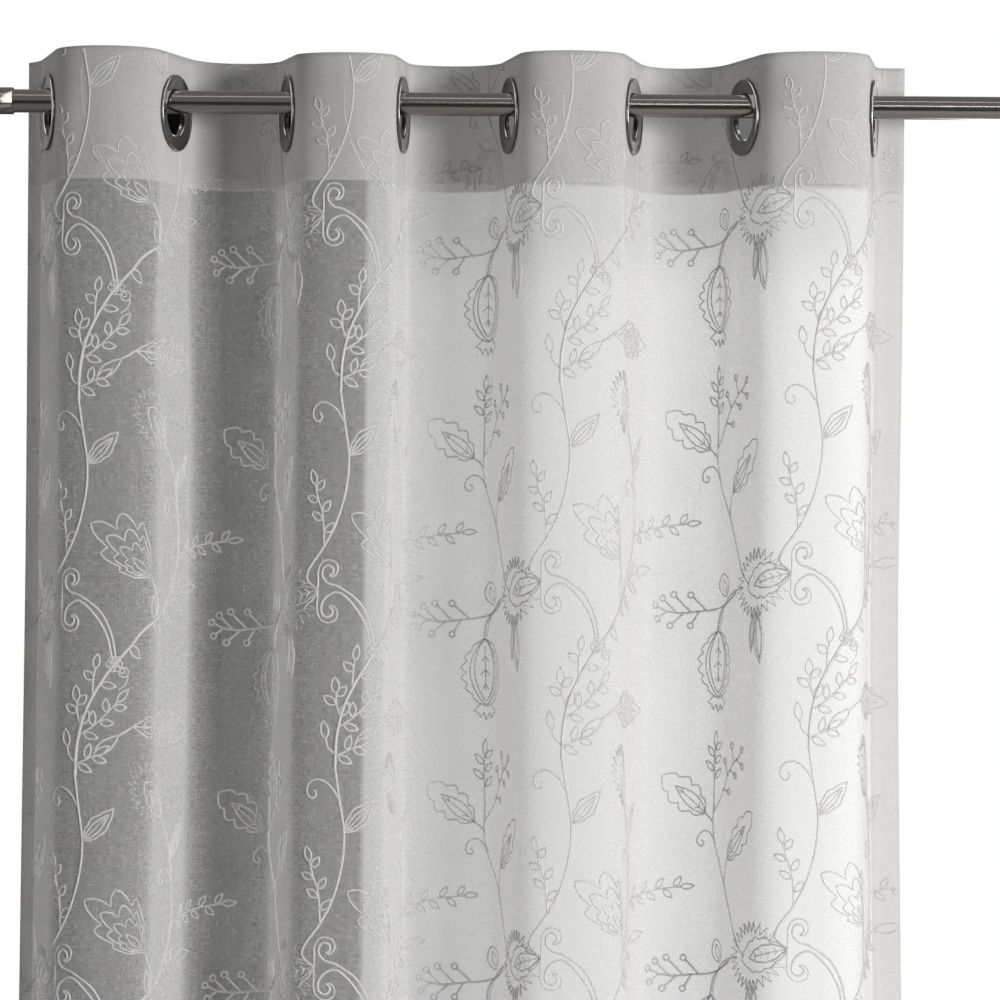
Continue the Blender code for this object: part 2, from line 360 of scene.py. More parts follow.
# %% How the cloth hangs
PANEL_WIDTH = 1.372
PANEL_HEIGHT = 2.134
HEADING_DEPTH = 0.112
SIDE_HEM = 0.025
BOTTOM_HEM = 0.075
TOP = 0.041
FOOT = TOP - PANEL_HEIGHT
SEAM = TOP - HEADING_DEPTH
ROD_RADIUS = 0.010
EYELET_PITCH = 0.178
EYELET_INNER = 0.0200
SEAT_GAP = 0.0004
EYELET_DROP = EYELET_INNER - ROD_RADIUS - SEAT_GAP
STRAIGHT_HALF = 0.034
FINE_STEPS = 200
HANDLE_RANGE = (0.005, 0.200)
HALVINGS = 40

EyeletRow = namedtuple("EyeletRow", "x turn")
EYELETS = (
    EyeletRow(-0.4290, 16.6),
    EyeletRow(-0.3215, 17.3),
    EyeletRow(-0.2230, 13.0),
    EyeletRow(-0.1265, 6.8),
    EyeletRow(-0.0321, 12.4),
    EyeletRow(0.0720, 13.2),
    EyeletRow(0.1691, 19.7),
    EyeletRow(0.2782, 10.5),
)
LAST = len(EYELETS) - 1
SIDE_MARGIN = (PANEL_WIDTH - LAST * EYELET_PITCH) / 2

MarginRow = namedtuple("MarginRow", "end_turn bend_share")
LEFT_MARGIN = MarginRow(48.0, 1.0)
RIGHT_MARGIN = MarginRow(90.0, 0.35)

FoldRow = namedtuple("FoldRow", "top_dip lean waver phase swell")
FOLDS = (
    FoldRow(0.0015, -0.006, 0.0010, 40.0, -0.10),
    FoldRow(0.0000, -0.010, 0.0022, 0.0, 0.06),
    FoldRow(0.0000, 0.004, 0.0030, 70.0, -0.12),
    FoldRow(0.0045, -0.008, 0.0020, 150.0, 0.10),
    FoldRow(0.0010, 0.006, 0.0028, 210.0, -0.08),
    FoldRow(0.0010, 0.010, 0.0024, 290.0, 0.05),
    FoldRow(0.0010, -0.004, 0.0030, 20.0, -0.14),
    FoldRow(0.0000, 0.008, 0.0022, 110.0, 0.08),
    FoldRow(0.0025, 0.012, 0.0030, 180.0, -0.05),
)
WAVER_LENGTH = 1.30
WAVER_START = 0.35
LEAN_POWER = 1.5


def cloth_way(index):
    """The direction of the cloth through an eyelet, from above. The first leads to the front."""
    turn = radians(EYELETS[index].turn)
    return np.array((sin(turn), -cos(turn) if index % 2 == 0 else cos(turn)))


def eyelet_centre(index):
    return np.array((EYELETS[index].x, 0.0))


def run_lengths(points):
    steps = np.linalg.norm(np.diff(points, axis=0), axis=1)
    return np.concatenate(([0.0], np.cumsum(steps)))


def bend(start, start_way, end, end_way, handle):
    """A cubic curve between two points. Longer handles make a fuller fold."""
    t = np.linspace(0, 1, FINE_STEPS + 1)[:, None]
    near, far = start + handle * start_way, end - handle * end_way
    return (
        (1 - t) ** 3 * start
        + 3 * (1 - t) ** 2 * t * near
        + 3 * (1 - t) * t**2 * far
        + t**3 * end
    )


def fold_between(index):
    """The cloth from one eyelet's straight stretch to the next one's, at its true length."""
    start_way, end_way = cloth_way(index), cloth_way(index + 1)
    start = eyelet_centre(index) + STRAIGHT_HALF * start_way
    end = eyelet_centre(index + 1) - STRAIGHT_HALF * end_way
    length = EYELET_PITCH - 2 * STRAIGHT_HALF
    low, high = HANDLE_RANGE
    for _ in range(HALVINGS):
        handle = (low + high) / 2
        short = run_lengths(bend(start, start_way, end, end_way, handle))[-1] < length
        low, high = (handle, high) if short else (low, handle)
    return bend(start, start_way, end, end_way, handle)


def margin_from(index, row):
    """The loose cloth outside an end eyelet, from its straight stretch to the free edge."""
    outward = -1 if index == 0 else 1
    points = [eyelet_centre(index) + outward * STRAIGHT_HALF * cloth_way(index)]
    step = (SIDE_MARGIN - STRAIGHT_HALF) / FINE_STEPS
    for i in range(FINE_STEPS):
        share = min((i + 0.5) / FINE_STEPS / row.bend_share, 1.0)
        turn = radians(EYELETS[index].turn + (row.end_turn - EYELETS[index].turn) * share)
        points.append(points[-1] + step * np.array((outward * sin(turn), cos(turn))))
    return np.array(points)


def plan_line():
    """The whole heading from above, left to right, and the length of cloth up to each point."""
    stretches = [margin_from(0, LEFT_MARGIN)[::-1]]
    stretches += [fold_between(index) for index in range(LAST)]
    stretches.append(margin_from(LAST, RIGHT_MARGIN))
    points = np.concatenate(stretches)
    lengths = run_lengths(points)
    return points, lengths * PANEL_WIDTH / lengths[-1]


def fold_values(column, places):
    """A column of the fold table, eased from each fold to the next along the cloth."""
    middles = SIDE_MARGIN + EYELET_PITCH * (np.arange(LAST) + 0.5)
    knots = np.concatenate(([0.0], middles, [PANEL_WIDTH]))
    values = np.array([getattr(row, column) for row in FOLDS])
    position = np.interp(places, knots, np.arange(len(knots)))
    below = np.minimum(position.astype(int), len(knots) - 2)
    share = (1 - np.cos(pi * (position - below))) / 2
    return values[below] * (1 - share) + values[below + 1] * share


PLAN, PLAN_LENGTHS = plan_line()


def hang(places, heights):
    """Where points of the flat cloth hang, given how far along it they are and how high."""
    x = np.interp(places, PLAN_LENGTHS, PLAN[:, 0])
    y = np.interp(places, PLAN_LENGTHS, PLAN[:, 1])
    drop = np.maximum(0.0, SEAM - heights)
    fall = drop / (SEAM - FOOT)
    loose = np.minimum(drop / WAVER_START, 1.0)
    angle = 2 * pi * drop / WAVER_LENGTH + np.radians(fold_values("phase", places))
    x = x + fold_values("lean", places) * fall**LEAN_POWER
    x = x + fold_values("waver", places) * loose * np.sin(angle)
    y = y * (1 + fold_values("swell", places) * fall)
    near_top = np.maximum(0.0, (heights - SEAM) / HEADING_DEPTH)
    z = heights - fold_values("top_dip", places) * near_top
    return np.stack((x, y, z), axis=-1)


print("plan of the heading:", len(PLAN), "points over", round(PLAN_LENGTHS[-1], 3), "m of cloth")

# %% [markdown]
# Voile creases softly. Short troughs run down from the eyelets, where the cloth is drawn to
# the metal, and longer shallow ones fall down the sides of the folds. Each row of the table
# is one crease, and cloth_at pushes the sheet along its own normal by it.

# %% Creases
CreaseRow = namedtuple("CreaseRow", "along high along_low low half_width depth")
CREASES = (
    CreaseRow(0.090, -0.030, 0.118, -0.190, 0.010, 0.0022),
    CreaseRow(0.140, 0.030, 0.128, -0.110, 0.013, -0.0018),
    CreaseRow(0.214, -0.040, 0.188, -0.230, 0.010, 0.0024),
    CreaseRow(0.268, -0.045, 0.290, -0.330, 0.012, -0.0022),
    CreaseRow(0.340, 0.020, 0.332, -0.120, 0.012, 0.0020),
    CreaseRow(0.398, -0.040, 0.382, -0.300, 0.011, 0.0020),
    CreaseRow(0.450, -0.035, 0.476, -0.210, 0.010, -0.0022),
    CreaseRow(0.512, 0.036, 0.520, -0.090, 0.014, 0.0018),
    CreaseRow(0.572, -0.045, 0.560, -0.380, 0.012, 0.0022),
    CreaseRow(0.630, -0.040, 0.655, -0.220, 0.011, -0.0020),
    CreaseRow(0.700, 0.030, 0.690, -0.140, 0.013, 0.0018),
    CreaseRow(0.748, -0.045, 0.730, -0.420, 0.012, 0.0022),
    CreaseRow(0.806, -0.040, 0.832, -0.200, 0.010, -0.0020),
    CreaseRow(0.868, 0.035, 0.874, -0.100, 0.014, -0.0018),
    CreaseRow(0.930, -0.045, 0.915, -0.340, 0.012, 0.0022),
    CreaseRow(0.984, -0.040, 1.010, -0.230, 0.010, 0.0020),
    CreaseRow(1.046, 0.025, 1.036, -0.130, 0.013, -0.0018),
    CreaseRow(1.106, -0.045, 1.090, -0.400, 0.012, 0.0022),
    CreaseRow(1.162, -0.040, 1.190, -0.250, 0.011, -0.0020),
    CreaseRow(1.226, 0.034, 1.232, -0.110, 0.014, 0.0018),
    CreaseRow(1.330, -0.040, 1.322, -0.300, 0.010, 0.0020),
    CreaseRow(0.150, -0.520, 0.132, -1.150, 0.016, 0.0026),
    CreaseRow(0.305, -0.700, 0.330, -1.500, 0.018, -0.0026),
    CreaseRow(0.486, -0.450, 0.470, -1.250, 0.016, 0.0028),
    CreaseRow(0.664, -0.800, 0.690, -1.700, 0.018, -0.0026),
    CreaseRow(0.842, -0.500, 0.820, -1.300, 0.016, 0.0026),
    CreaseRow(1.020, -0.750, 1.046, -1.600, 0.018, -0.0028),
    CreaseRow(1.200, -0.480, 1.184, -1.200, 0.016, 0.0026),
)
CALM_RADIUS = 0.036
CALM_FADE = 0.018
SLOPE_STEP = 0.001


def eyelet_distance(places, heights):
    """How far each point is from the nearest eyelet's centre, on the flat cloth."""
    middles = SIDE_MARGIN + EYELET_PITCH * np.arange(len(EYELETS))
    nearest = middles[np.clip(np.rint((places - SIDE_MARGIN) / EYELET_PITCH), 0, LAST).astype(int)]
    return np.hypot(places - nearest, heights + EYELET_DROP)


def relief(places, heights):
    """How far the creases push the cloth towards its face. They fade out near the eyelets."""
    total = np.zeros_like(places)
    for row in CREASES:
        share = (row.high - heights) / (row.high - row.low)
        middle = row.along + (row.along_low - row.along) * share
        fade = np.sin(pi * np.clip(share, 0, 1))
        total += row.depth * fade * np.exp(-(((places - middle) / row.half_width) ** 2))
    calm = np.clip((eyelet_distance(places, heights) - CALM_RADIUS) / CALM_FADE, 0, 1)
    edge = np.clip(np.minimum(places, PANEL_WIDTH - places) / SIDE_HEM, 0, 1)
    return total * calm * edge


def cloth_normal(places, heights):
    """The direction that the face of the cloth looks in."""
    along = hang(places + SLOPE_STEP, heights) - hang(places - SLOPE_STEP, heights)
    up = hang(places, heights + SLOPE_STEP) - hang(places, heights - SLOPE_STEP)
    normal = np.cross(along, up)
    return normal / np.linalg.norm(normal, axis=-1, keepdims=True)


def cloth_at(places, heights, proud=0.0):
    """Points of the creased cloth, or of a line that stands proud of it by the given height."""
    push = relief(places, heights) + proud
    return hang(places, heights) + cloth_normal(places, heights) * push[..., None]


print("creases:", len(CREASES))

# %% [markdown]
# The voile's finish decides how real the curtain looks. Light passes between the threads,
# so the material is part clear and part white thread. Threads run both ways, thicker here
# and thinner there, and a fold seen edge on packs more thread into each pixel and turns
# milky. The doubled heading and hems let far less through, and their colour is darkened
# as painted shade. It all reads the cloth's own flat coordinates, so the weave bends
# round the folds with the sheet.

# %% Voile finish
VOILE_COLOUR = (0.86, 0.855, 0.845, 1.0)
# Where the cloth is doubled it is painted a darker grey: painted shade for the shade its two layers
# throw on each other.
DOUBLED_PAINTED_SHADE = (0.66, 0.655, 0.645, 1.0)
SINGLE_COVER = 0.215
DOUBLE_COVER = 0.62
SINGLE_GRAIN = 1.4
DOUBLED_GRAIN = 0.45
LEAST_FACING = 0.40
THROUGH_LIGHT = 0.25
WARP_SPOTS = (900.0, 190.0)
WEFT_SPOTS = (160.0, 900.0)
SLUBS_DOWN = (560.0, 16.0)
SLUBS_ACROSS = (18.0, 600.0)
SLUB_SHARE = 0.30
WEAVE_BUMP = 0.3
WEAVE_DEPTH = 0.0003
VOILE_ROUGHNESS = 0.88
VOILE_SHINE = 0.15
VOILE_SHEEN = 0.12


def edge_mask(tree, value, limit, above):
    operation = "GREATER_THAN" if above else "LESS_THAN"
    return maths(tree, operation, value, limit)


def stretched_noise(tree, flat, across, down):
    """Noise with so many spots to the metre across the cloth and down it."""
    spots = node(tree, "ShaderNodeMapping", {"Vector": flat, "Scale": (across, down, 1.0)})
    made = node(tree, "ShaderNodeTexNoise", noise_dimensions="2D")
    made.inputs["Scale"].default_value = 1.0
    made.inputs["Detail"].default_value = 0.0
    tree.links.new(spots.outputs[0], made.inputs["Vector"])
    return made.outputs[0]


def weave_of(tree, flat):
    """Fine threads both ways with a few thick slubs, averaging about one half."""
    warp = stretched_noise(tree, flat, *WARP_SPOTS)
    weft = stretched_noise(tree, flat, *WEFT_SPOTS)
    fine = maths(tree, "MULTIPLY", maths(tree, "ADD", warp, weft), 0.5)
    slub_down = stretched_noise(tree, flat, *SLUBS_DOWN)
    slub_across = stretched_noise(tree, flat, *SLUBS_ACROSS)
    slub = maths(tree, "MULTIPLY", maths(tree, "ADD", slub_down, slub_across), 0.5)
    slub = maths(tree, "MULTIPLY", slub, SLUB_SHARE)
    return maths(tree, "MULTIPLY_ADD", fine, 1 - SLUB_SHARE, slub)


def doubled_mask(tree, flat):
    """1 where the cloth is doubled, in the heading and the hems, and 0 elsewhere."""
    parts = node(tree, "ShaderNodeSeparateXYZ", {0: flat})
    across, up = parts.outputs["X"], parts.outputs["Y"]
    doubled = edge_mask(tree, up, SEAM, True)
    for value, limit, above in (
        (up, FOOT + BOTTOM_HEM, False),
        (across, SIDE_HEM, False),
        (across, PANEL_WIDTH - SIDE_HEM, True),
    ):
        doubled = maths(tree, "MAXIMUM", doubled, edge_mask(tree, value, limit, above))
    return doubled


def voile_material():
    material, tree, output = new_tree("voile")
    flat = node(tree, "ShaderNodeUVMap", uv_map="flat").outputs[0]
    doubled = doubled_mask(tree, flat)
    plain_cover = maths(tree, "MULTIPLY_ADD", doubled, DOUBLE_COVER - SINGLE_COVER, SINGLE_COVER)
    weave = weave_of(tree, flat)
    grain = maths(tree, "MULTIPLY_ADD", doubled, DOUBLED_GRAIN - SINGLE_GRAIN, SINGLE_GRAIN)
    spread = maths(tree, "MULTIPLY_ADD", maths(tree, "SUBTRACT", weave, 0.5), grain, 1.0)
    cover = maths(tree, "MULTIPLY", plain_cover, spread, clamp=True)
    clear = maths(tree, "SUBTRACT", 1.0, cover)
    facing = node(tree, "ShaderNodeLayerWeight", {"Blend": 0.5}).outputs["Facing"]
    straight = maths(tree, "MAXIMUM", maths(tree, "SUBTRACT", 1.0, facing), LEAST_FACING)
    clear = maths(tree, "POWER", clear, maths(tree, "DIVIDE", 1.0, straight), clamp=True)
    # The doubled heading and hems take the darker colour below, as painted shade.
    tone = node(tree, "ShaderNodeMix", {0: doubled}, data_type="RGBA")
    tone.inputs[6].default_value = VOILE_COLOUR
    tone.inputs[7].default_value = DOUBLED_PAINTED_SHADE
    bump = node(
        tree, "ShaderNodeBump", {"Height": weave, "Strength": WEAVE_BUMP, "Distance": WEAVE_DEPTH}
    )
    cloth = node(
        tree,
        "ShaderNodeBsdfPrincipled",
        {"Base Color": tone.outputs[2], "Roughness": VOILE_ROUGHNESS, "Normal": bump.outputs[0]},
    )
    cloth.inputs["Specular IOR Level"].default_value = VOILE_SHINE
    cloth.inputs["Sheen Weight"].default_value = VOILE_SHEEN
    glow = node(tree, "ShaderNodeBsdfTranslucent", {"Color": tone.outputs[2]})
    thread = node(
        tree, "ShaderNodeMixShader", {0: THROUGH_LIGHT, 1: cloth.outputs[0], 2: glow.outputs[0]}
    )
    gap = node(tree, "ShaderNodeBsdfTransparent")
    seen = node(tree, "ShaderNodeMixShader", {0: clear, 1: thread.outputs[0], 2: gap.outputs[0]})
    veil = node(
        tree, "ShaderNodeBsdfTransparent", {"Color": maths(tree, "SUBTRACT", 1.0, plain_cover)}
    )
    lamp_ray = node(tree, "ShaderNodeLightPath").outputs["Is Shadow Ray"]
    mix = node(tree, "ShaderNodeMixShader", {0: lamp_ray, 1: seen.outputs[0], 2: veil.outputs[0]})
    tree.links.new(mix.outputs[0], output.inputs[0])
    return material


VOILE = voile_material()
print("voile finish ready")

# %% [markdown]
# The sheet itself is one grid laid out flat, in metres of cloth, so its round eyelet holes
# can be cut as circles before it hangs. Each point is then moved to where it hangs, and a
# Solidify modifier gives it thickness, twice as much where a hem doubles the cloth.

# %% Voile sheet
SHEET_THICKNESS = 0.0005
HEM_THICKNESS = 0.0010
HEM_STEP = 0.0010
COLUMN_STEP = 0.0064
HEADING_ROW_STEP = 0.0060
BODY_ROW_STEP = 0.0125
HOLE_RADIUS = 0.0236
SMALL = 1e-6


def spaced(start, end, step):
    return np.linspace(start, end, int(round(abs(end - start) / step)) + 1)


def sheet_columns():
    inner = spaced(SIDE_HEM + HEM_STEP, PANEL_WIDTH - SIDE_HEM - HEM_STEP, COLUMN_STEP)
    left = spaced(0.0, SIDE_HEM, COLUMN_STEP)
    return np.concatenate((left, inner, PANEL_WIDTH - left[::-1]))


def sheet_rows():
    heading = spaced(TOP, SEAM, HEADING_ROW_STEP)
    body = spaced(SEAM - HEM_STEP, FOOT + BOTTOM_HEM + HEM_STEP, BODY_ROW_STEP)
    foot = spaced(FOOT + BOTTOM_HEM, FOOT, BODY_ROW_STEP)
    return np.concatenate((heading, body, foot))


def is_doubled(place, height):
    side = min(place, PANEL_WIDTH - place) <= SIDE_HEM + SMALL
    return side or height >= SEAM - SMALL or height <= FOOT + BOTTOM_HEM + SMALL


def flat_grid():
    """The sheet laid flat as a bmesh, its places in X and its heights in Z, holes cut."""
    columns, rows = sheet_columns(), sheet_rows()
    bm = bmesh.new()
    grid = [[bm.verts.new((place, 0, height)) for place in columns] for height in rows]
    for upper, lower in zip(grid, grid[1:]):
        for k in range(len(columns) - 1):
            bm.faces.new((upper[k], lower[k], lower[k + 1], upper[k + 1]))
    for index in range(len(EYELETS)):
        middle = Vector((SIDE_MARGIN + index * EYELET_PITCH, 0, -EYELET_DROP))
        inside = [
            face for face in bm.faces if (face.calc_center_median() - middle).length < HOLE_RADIUS
        ]
        rim = {vert for face in inside for vert in face.verts}
        bmesh.ops.delete(bm, geom=inside, context="FACES")
        for vert in rim:
            if vert.is_valid:
                vert.co = middle + (vert.co - middle).normalized() * HOLE_RADIUS
    return bm


def build_sheet():
    bm = flat_grid()
    layer = bm.loops.layers.uv.new("flat")
    for face in bm.faces:
        for loop in face.loops:
            loop[layer].uv = (loop.vert.co.x, loop.vert.co.z)
    flat = np.array([vert.co for vert in bm.verts])
    doubled = [is_doubled(place, height) for place, _, height in flat]
    for vert, point in zip(bm.verts, cloth_at(flat[:, 0], flat[:, 2])):
        vert.co = point
    mesh = bpy.data.meshes.new("voile_sheet")
    bm.to_mesh(mesh)
    bm.free()
    mesh.shade_smooth()
    mesh.materials.append(VOILE)
    sheet = add_piece("voile_sheet", mesh)
    group = sheet.vertex_groups.new(name="hems")
    group.add([i for i, hem in enumerate(doubled) if hem], 1.0, "REPLACE")
    thicken = sheet.modifiers.new("thickness", "SOLIDIFY")
    thicken.thickness = HEM_THICKNESS
    thicken.offset = 0.0
    thicken.vertex_group = group.name
    thicken.thickness_vertex_group = SHEET_THICKNESS / HEM_THICKNESS
    return sheet


def made_plain(obj):
    """Turns an object's live modifiers into a plain mesh."""
    graph = bpy.context.evaluated_depsgraph_get()
    mesh = bpy.data.meshes.new_from_object(
        obj.evaluated_get(graph), preserve_all_data_layers=True, depsgraph=graph
    )
    obj.modifiers.clear()
    obj.data = mesh
    return obj


voile_sheet = made_plain(build_sheet())
print("voile sheet:", len(voile_sheet.data.polygons), "faces")

# %% [markdown]
# The embroidery is a trailing vine in corded stitch, a common pattern on voile. It repeats
# every 36 cm across and 32 cm down. The pen below draws one repeat on the flat cloth, in
# millimetres from the knot where the two main stems meet. Leaves, pods and flowers are
# functions of a base, a tip and a width, so each motif is drawn afresh from its own rule.

# %% Pen for the embroidery
Stroke = namedtuple("Stroke", "points weight closed")
MAIN_STEM = 1.7
STEM = 1.25
OUTLINE = 1.0
FINE_LINE = 0.8
PEN_STEP = 3.2
strokes = []


def draw(points, weight=OUTLINE, closed=False):
    strokes.append(Stroke(np.array(points, dtype=float), weight, closed))


def smooth_line(points):
    """A smooth line through the given points, with a point at every step."""
    given = np.array(points, dtype=float)
    whole = np.vstack((2 * given[0] - given[1], given, 2 * given[-1] - given[-2]))
    made = []
    for a, b, c, d in zip(whole, whole[1:], whole[2:], whole[3:]):
        count = max(2, int(round(np.linalg.norm(c - b) / PEN_STEP)))
        t = (np.arange(count) / count)[:, None]
        made.append(
            0.5
            * (
                2 * b
                + (c - a) * t
                + (2 * a - 5 * b + 4 * c - d) * t**2
                + (3 * b - a - 3 * c + d) * t**3
            )
        )
    return np.vstack(made + [given[-1:]])


def stem(*points, weight=STEM):
    line = smooth_line(points)
    draw(line, weight)
    return line


def crosswise(base, tip):
    """The vector from base to tip, and the unit vector square to it on the right."""
    along = np.array(tip, dtype=float) - np.array(base, dtype=float)
    length = np.linalg.norm(along)
    return along, np.array((along[1], -along[0])) / length


def outline(base, tip, width, steps, edge, weight=OUTLINE):
    """A closed outline from base to tip. edge gives its half width at each share of the way."""
    along, across = crosswise(base, tip)
    share = (1 - np.cos(pi * np.arange(steps + 1) / steps)) / 2
    half = width / 2 * np.array([edge(value) for value in share])
    middle = np.array(base, dtype=float) + share[:, None] * along
    right = middle + half[:, None] * across
    left = middle - half[:, None] * across
    draw(np.vstack((right, left[-2:0:-1])), weight, True)


def plain_edge(share):
    """A leaf's half width: widest before the middle, and pointed at the tip."""
    return sin(pi * share**0.85)


def full_edge(share):
    """A rounder half width, for pods and cups."""
    return sin(pi * share) ** 0.7


def scalloped_edge(share, lobes, depth=0.22):
    return full_edge(share) * (1 - depth + depth * abs(sin(pi * lobes * share)))


def wavy_edge(share):
    return plain_edge(share) * (0.84 + 0.16 * abs(sin(3 * pi * share)))


def serrated_edge(share, teeth, depth):
    return sin(pi * share) ** 0.8 * (1 - depth + depth * ((teeth * share) % 1.0))


def leaf(base, tip, width, weight=OUTLINE, steps=6):
    outline(base, tip, width, steps, plain_edge, weight)


def point_at(base, tip, share, side=0.0):
    """A point part of the way from base to tip, and so many millimetres to the right."""
    along, across = crosswise(base, tip)
    return np.array(base, dtype=float) + share * along + side * across


def veins(base, tip, width, count):
    """A midrib with pairs of short veins."""
    draw([point_at(base, tip, share) for share in (0.0, 0.45, 0.88)], FINE_LINE)
    for k in range(count):
        share = 0.2 + 0.55 * k / max(count - 1, 1)
        reach = width * 0.3 * plain_edge(share)
        draw(
            [
                point_at(base, tip, share + 0.10, -reach),
                point_at(base, tip, share),
                point_at(base, tip, share + 0.10, reach),
            ],
            FINE_LINE,
        )


def sprig(points, leaves, length, width, first=0.15):
    """A twig with leaves on alternate sides and one at its tip."""
    line = stem(*points, weight=OUTLINE)
    for k in range(leaves):
        spot = first + (0.92 - first) * k / max(leaves - 1, 1)
        index = min(int(spot * (len(line) - 1)), len(line) - 2)
        way = line[index + 1] - line[index]
        way = way / np.linalg.norm(way)
        side = 1 if k % 2 else -1
        turned = radians(48.0) * side
        aim = np.array(
            (way[0] * cos(turned) - way[1] * sin(turned), way[0] * sin(turned) + way[1] * cos(turned))
        )
        start = line[index] + aim * 1.5
        leaf(start, start + aim * length * (1 - 0.15 * spot), width)
    way = line[-1] - line[-2]
    way = way / np.linalg.norm(way)
    leaf(line[-1], line[-1] + way * length * 1.1, width)


def wavy_leaf(base, tip, width):
    """A leaf with a softly waved edge, drawn again inside itself, and a midrib."""
    outline(base, tip, width, 18, wavy_edge)
    inner_tip = point_at(base, tip, 0.82)
    outline(point_at(base, tip, 0.04), inner_tip, width * 0.50, 14, wavy_edge)
    draw([base, point_at(base, tip, 0.4), point_at(base, tip, 0.72)], FINE_LINE)


def scalloped_leaf(base, tip, width):
    """A broad leaf with a scalloped edge, and a plain veined leaf inside."""
    outline(base, tip, width, 40, lambda share: scalloped_edge(share, 4.0, 0.36) ** 0.9)
    inner_tip = point_at(base, tip, 0.72)
    outline(base, inner_tip, width * 0.42, 9, plain_edge)
    veins(base, inner_tip, width * 0.5, 2)


def ring(centre, radius, weight, steps):
    angles = 2 * pi * np.arange(steps) / steps
    draw(np.array(centre) + radius * np.column_stack((np.cos(angles), np.sin(angles))), weight, True)


def berries(root, centres, radius):
    """A short stalk from the twig to each berry, drawn as a ring."""
    for start, centre in zip(root, centres):
        along, _ = crosswise(start, centre)
        length = np.linalg.norm(along)
        if length > radius:
            draw([start, np.array(centre) - along * radius / length], STEM)
        ring(centre, radius, STEM, 7)


print("pen ready")

# %% [markdown]
# Now the flowers. A spiky flower is an oval of pointed rays, open towards its stem, with a
# scalloped cup and a small leaf inside. The lily is a fan of pointed petals drawn three
# times, each inside the last. The pod is a scalloped oval with smooth ovals and a feather
# inside, ending in a little crown.

# %% Flowers and pods
PetalRow = namedtuple("PetalRow", "turn reach")
LILY_PETALS = (
    PetalRow(30.0, 0.44),
    PetalRow(16.0, 0.71),
    PetalRow(0.0, 1.00),
    PetalRow(-22.0, 0.86),
    PetalRow(-38.0, 0.66),
)
VALLEY = 0.78
PETAL_STEPS = 4


def rays(base, tip, width, count, gap=0.7, valley=0.72):
    """Pointed rays round an oval from base to tip, with a gap in radians at the base."""
    along, across = crosswise(base, tip)
    is_tip = np.arange(2 * count + 1) % 2 == 1
    turns = np.linspace(-pi + gap / 2, pi - gap / 2, 2 * count + 1)
    turns = turns - np.where(is_tip, 0.8 / count, 0.0) * np.sign(turns)
    reach = np.where(is_tip, 1.0, valley)
    forward = (reach * np.cos(turns))[:, None] * along / 2
    sideways = (reach * np.sin(turns))[:, None] * across * width / 2
    middle = np.array(base, dtype=float) + along / 2
    draw(np.vstack((base, middle + forward + sideways, base)))


def petal_corners():
    """The tips of the lily's petals, with a valley between each two."""
    corners = []
    for row, following in zip(LILY_PETALS, LILY_PETALS[1:]):
        turn = (row.turn + following.turn) / 2
        corners += [row, PetalRow(turn, VALLEY * (row.reach + following.reach) / 2)]
    return corners + [LILY_PETALS[-1]]


def petal_fan(base, tip, weight=OUTLINE):
    """The lily's outline round its base. Each petal's sides bulge, and its tip is pointed."""
    along, _ = crosswise(base, tip)
    corners = petal_corners()
    turns, reaches = [corners[0].turn + 10], [corners[0].reach * 0.55]
    for k, (start, end) in enumerate(zip(corners, corners[1:])):
        share = np.arange(PETAL_STEPS) / PETAL_STEPS
        from_tip = share if k % 2 == 0 else 1 - share
        fall = 0.4 * from_tip + 0.6 * from_tip**3
        peak, low = (start, end) if k % 2 == 0 else (end, start)
        turns.extend(start.turn + (end.turn - start.turn) * share)
        reaches.extend(peak.reach + (low.reach - peak.reach) * fall)
    turns += [corners[-1].turn, corners[-1].turn - 8]
    reaches += [corners[-1].reach, corners[-1].reach * 0.55]
    angle = atan2(along[1], along[0]) + np.radians(turns)
    reach = np.linalg.norm(along) * np.array(reaches)
    fan = np.array(base) + reach[:, None] * np.column_stack((np.cos(angle), np.sin(angle)))
    draw(np.vstack((base, fan)), weight, True)


def lily(base, tip):
    petal_fan(base, tip)
    petal_fan(point_at(base, tip, 0.04), point_at(base, tip, 0.76))
    petal_fan(point_at(base, tip, 0.07), point_at(base, tip, 0.55), FINE_LINE)
    leaf(point_at(base, tip, 0.10), point_at(base, tip, 0.36), 6, FINE_LINE)


def pod(top, foot, width):
    """A ripe pod: two smooth ovals in a scalloped one, a feather, and a crown at its foot."""
    outline(top, foot, width, 48, lambda share: scalloped_edge(share, 6.0, 0.24) ** 0.8)
    outline(top, point_at(top, foot, 0.98), width * 0.66, 14, full_edge)
    outline(top, point_at(top, foot, 0.92), width * 0.48, 14, full_edge)
    veins(point_at(top, foot, 0.10), point_at(top, foot, 0.86), width * 0.40, 3)
    crown = [point_at(top, foot, 0.97, -6.0)]
    for k in range(5):
        side = 6.5 * (k - 2)
        crown.append(point_at(top, foot, 1.21 - 0.0008 * side**2, side))
        crown.append(point_at(top, foot, 1.10, side + 2.5))
    draw(crown[:-1] + [point_at(top, foot, 0.97, 6.0)])


def heavy_edge(share):
    """A waved half width that is fullest near the tip."""
    return wavy_edge(share) * (0.7 + 0.4 * share)


def hanging_pod(top, foot, width):
    """A long pod that is fullest near its foot, drawn again inside itself."""
    outline(top, foot, width, 16, heavy_edge)
    outline(point_at(top, foot, 0.05), point_at(top, foot, 0.90), width * 0.5, 16, heavy_edge)


def thistle(base, tip, width):
    """A spiky bud: pointed rays, a scalloped cup and a small leaf, each inside the last."""
    rays(base, tip, width, 19)
    cup_tip = point_at(base, tip, 0.72)
    outline(base, cup_tip, width * 0.52, 26, lambda share: scalloped_edge(share, 4.0))
    leaf(base, point_at(base, tip, 0.56), width * 0.28)
    leaf(point_at(base, tip, 0.12), point_at(base, tip, 0.44), width * 0.12, FINE_LINE, 4)


print("flowers ready")

# %% [markdown]
# One repeat of the vine follows, as a chart in millimetres. Each line is a stem, a leaf or
# a flower. The knot comes first, with the crooks that lead to the flower, then the main
# stem that sways down, what grows on its left, and the stems that rise on the right.

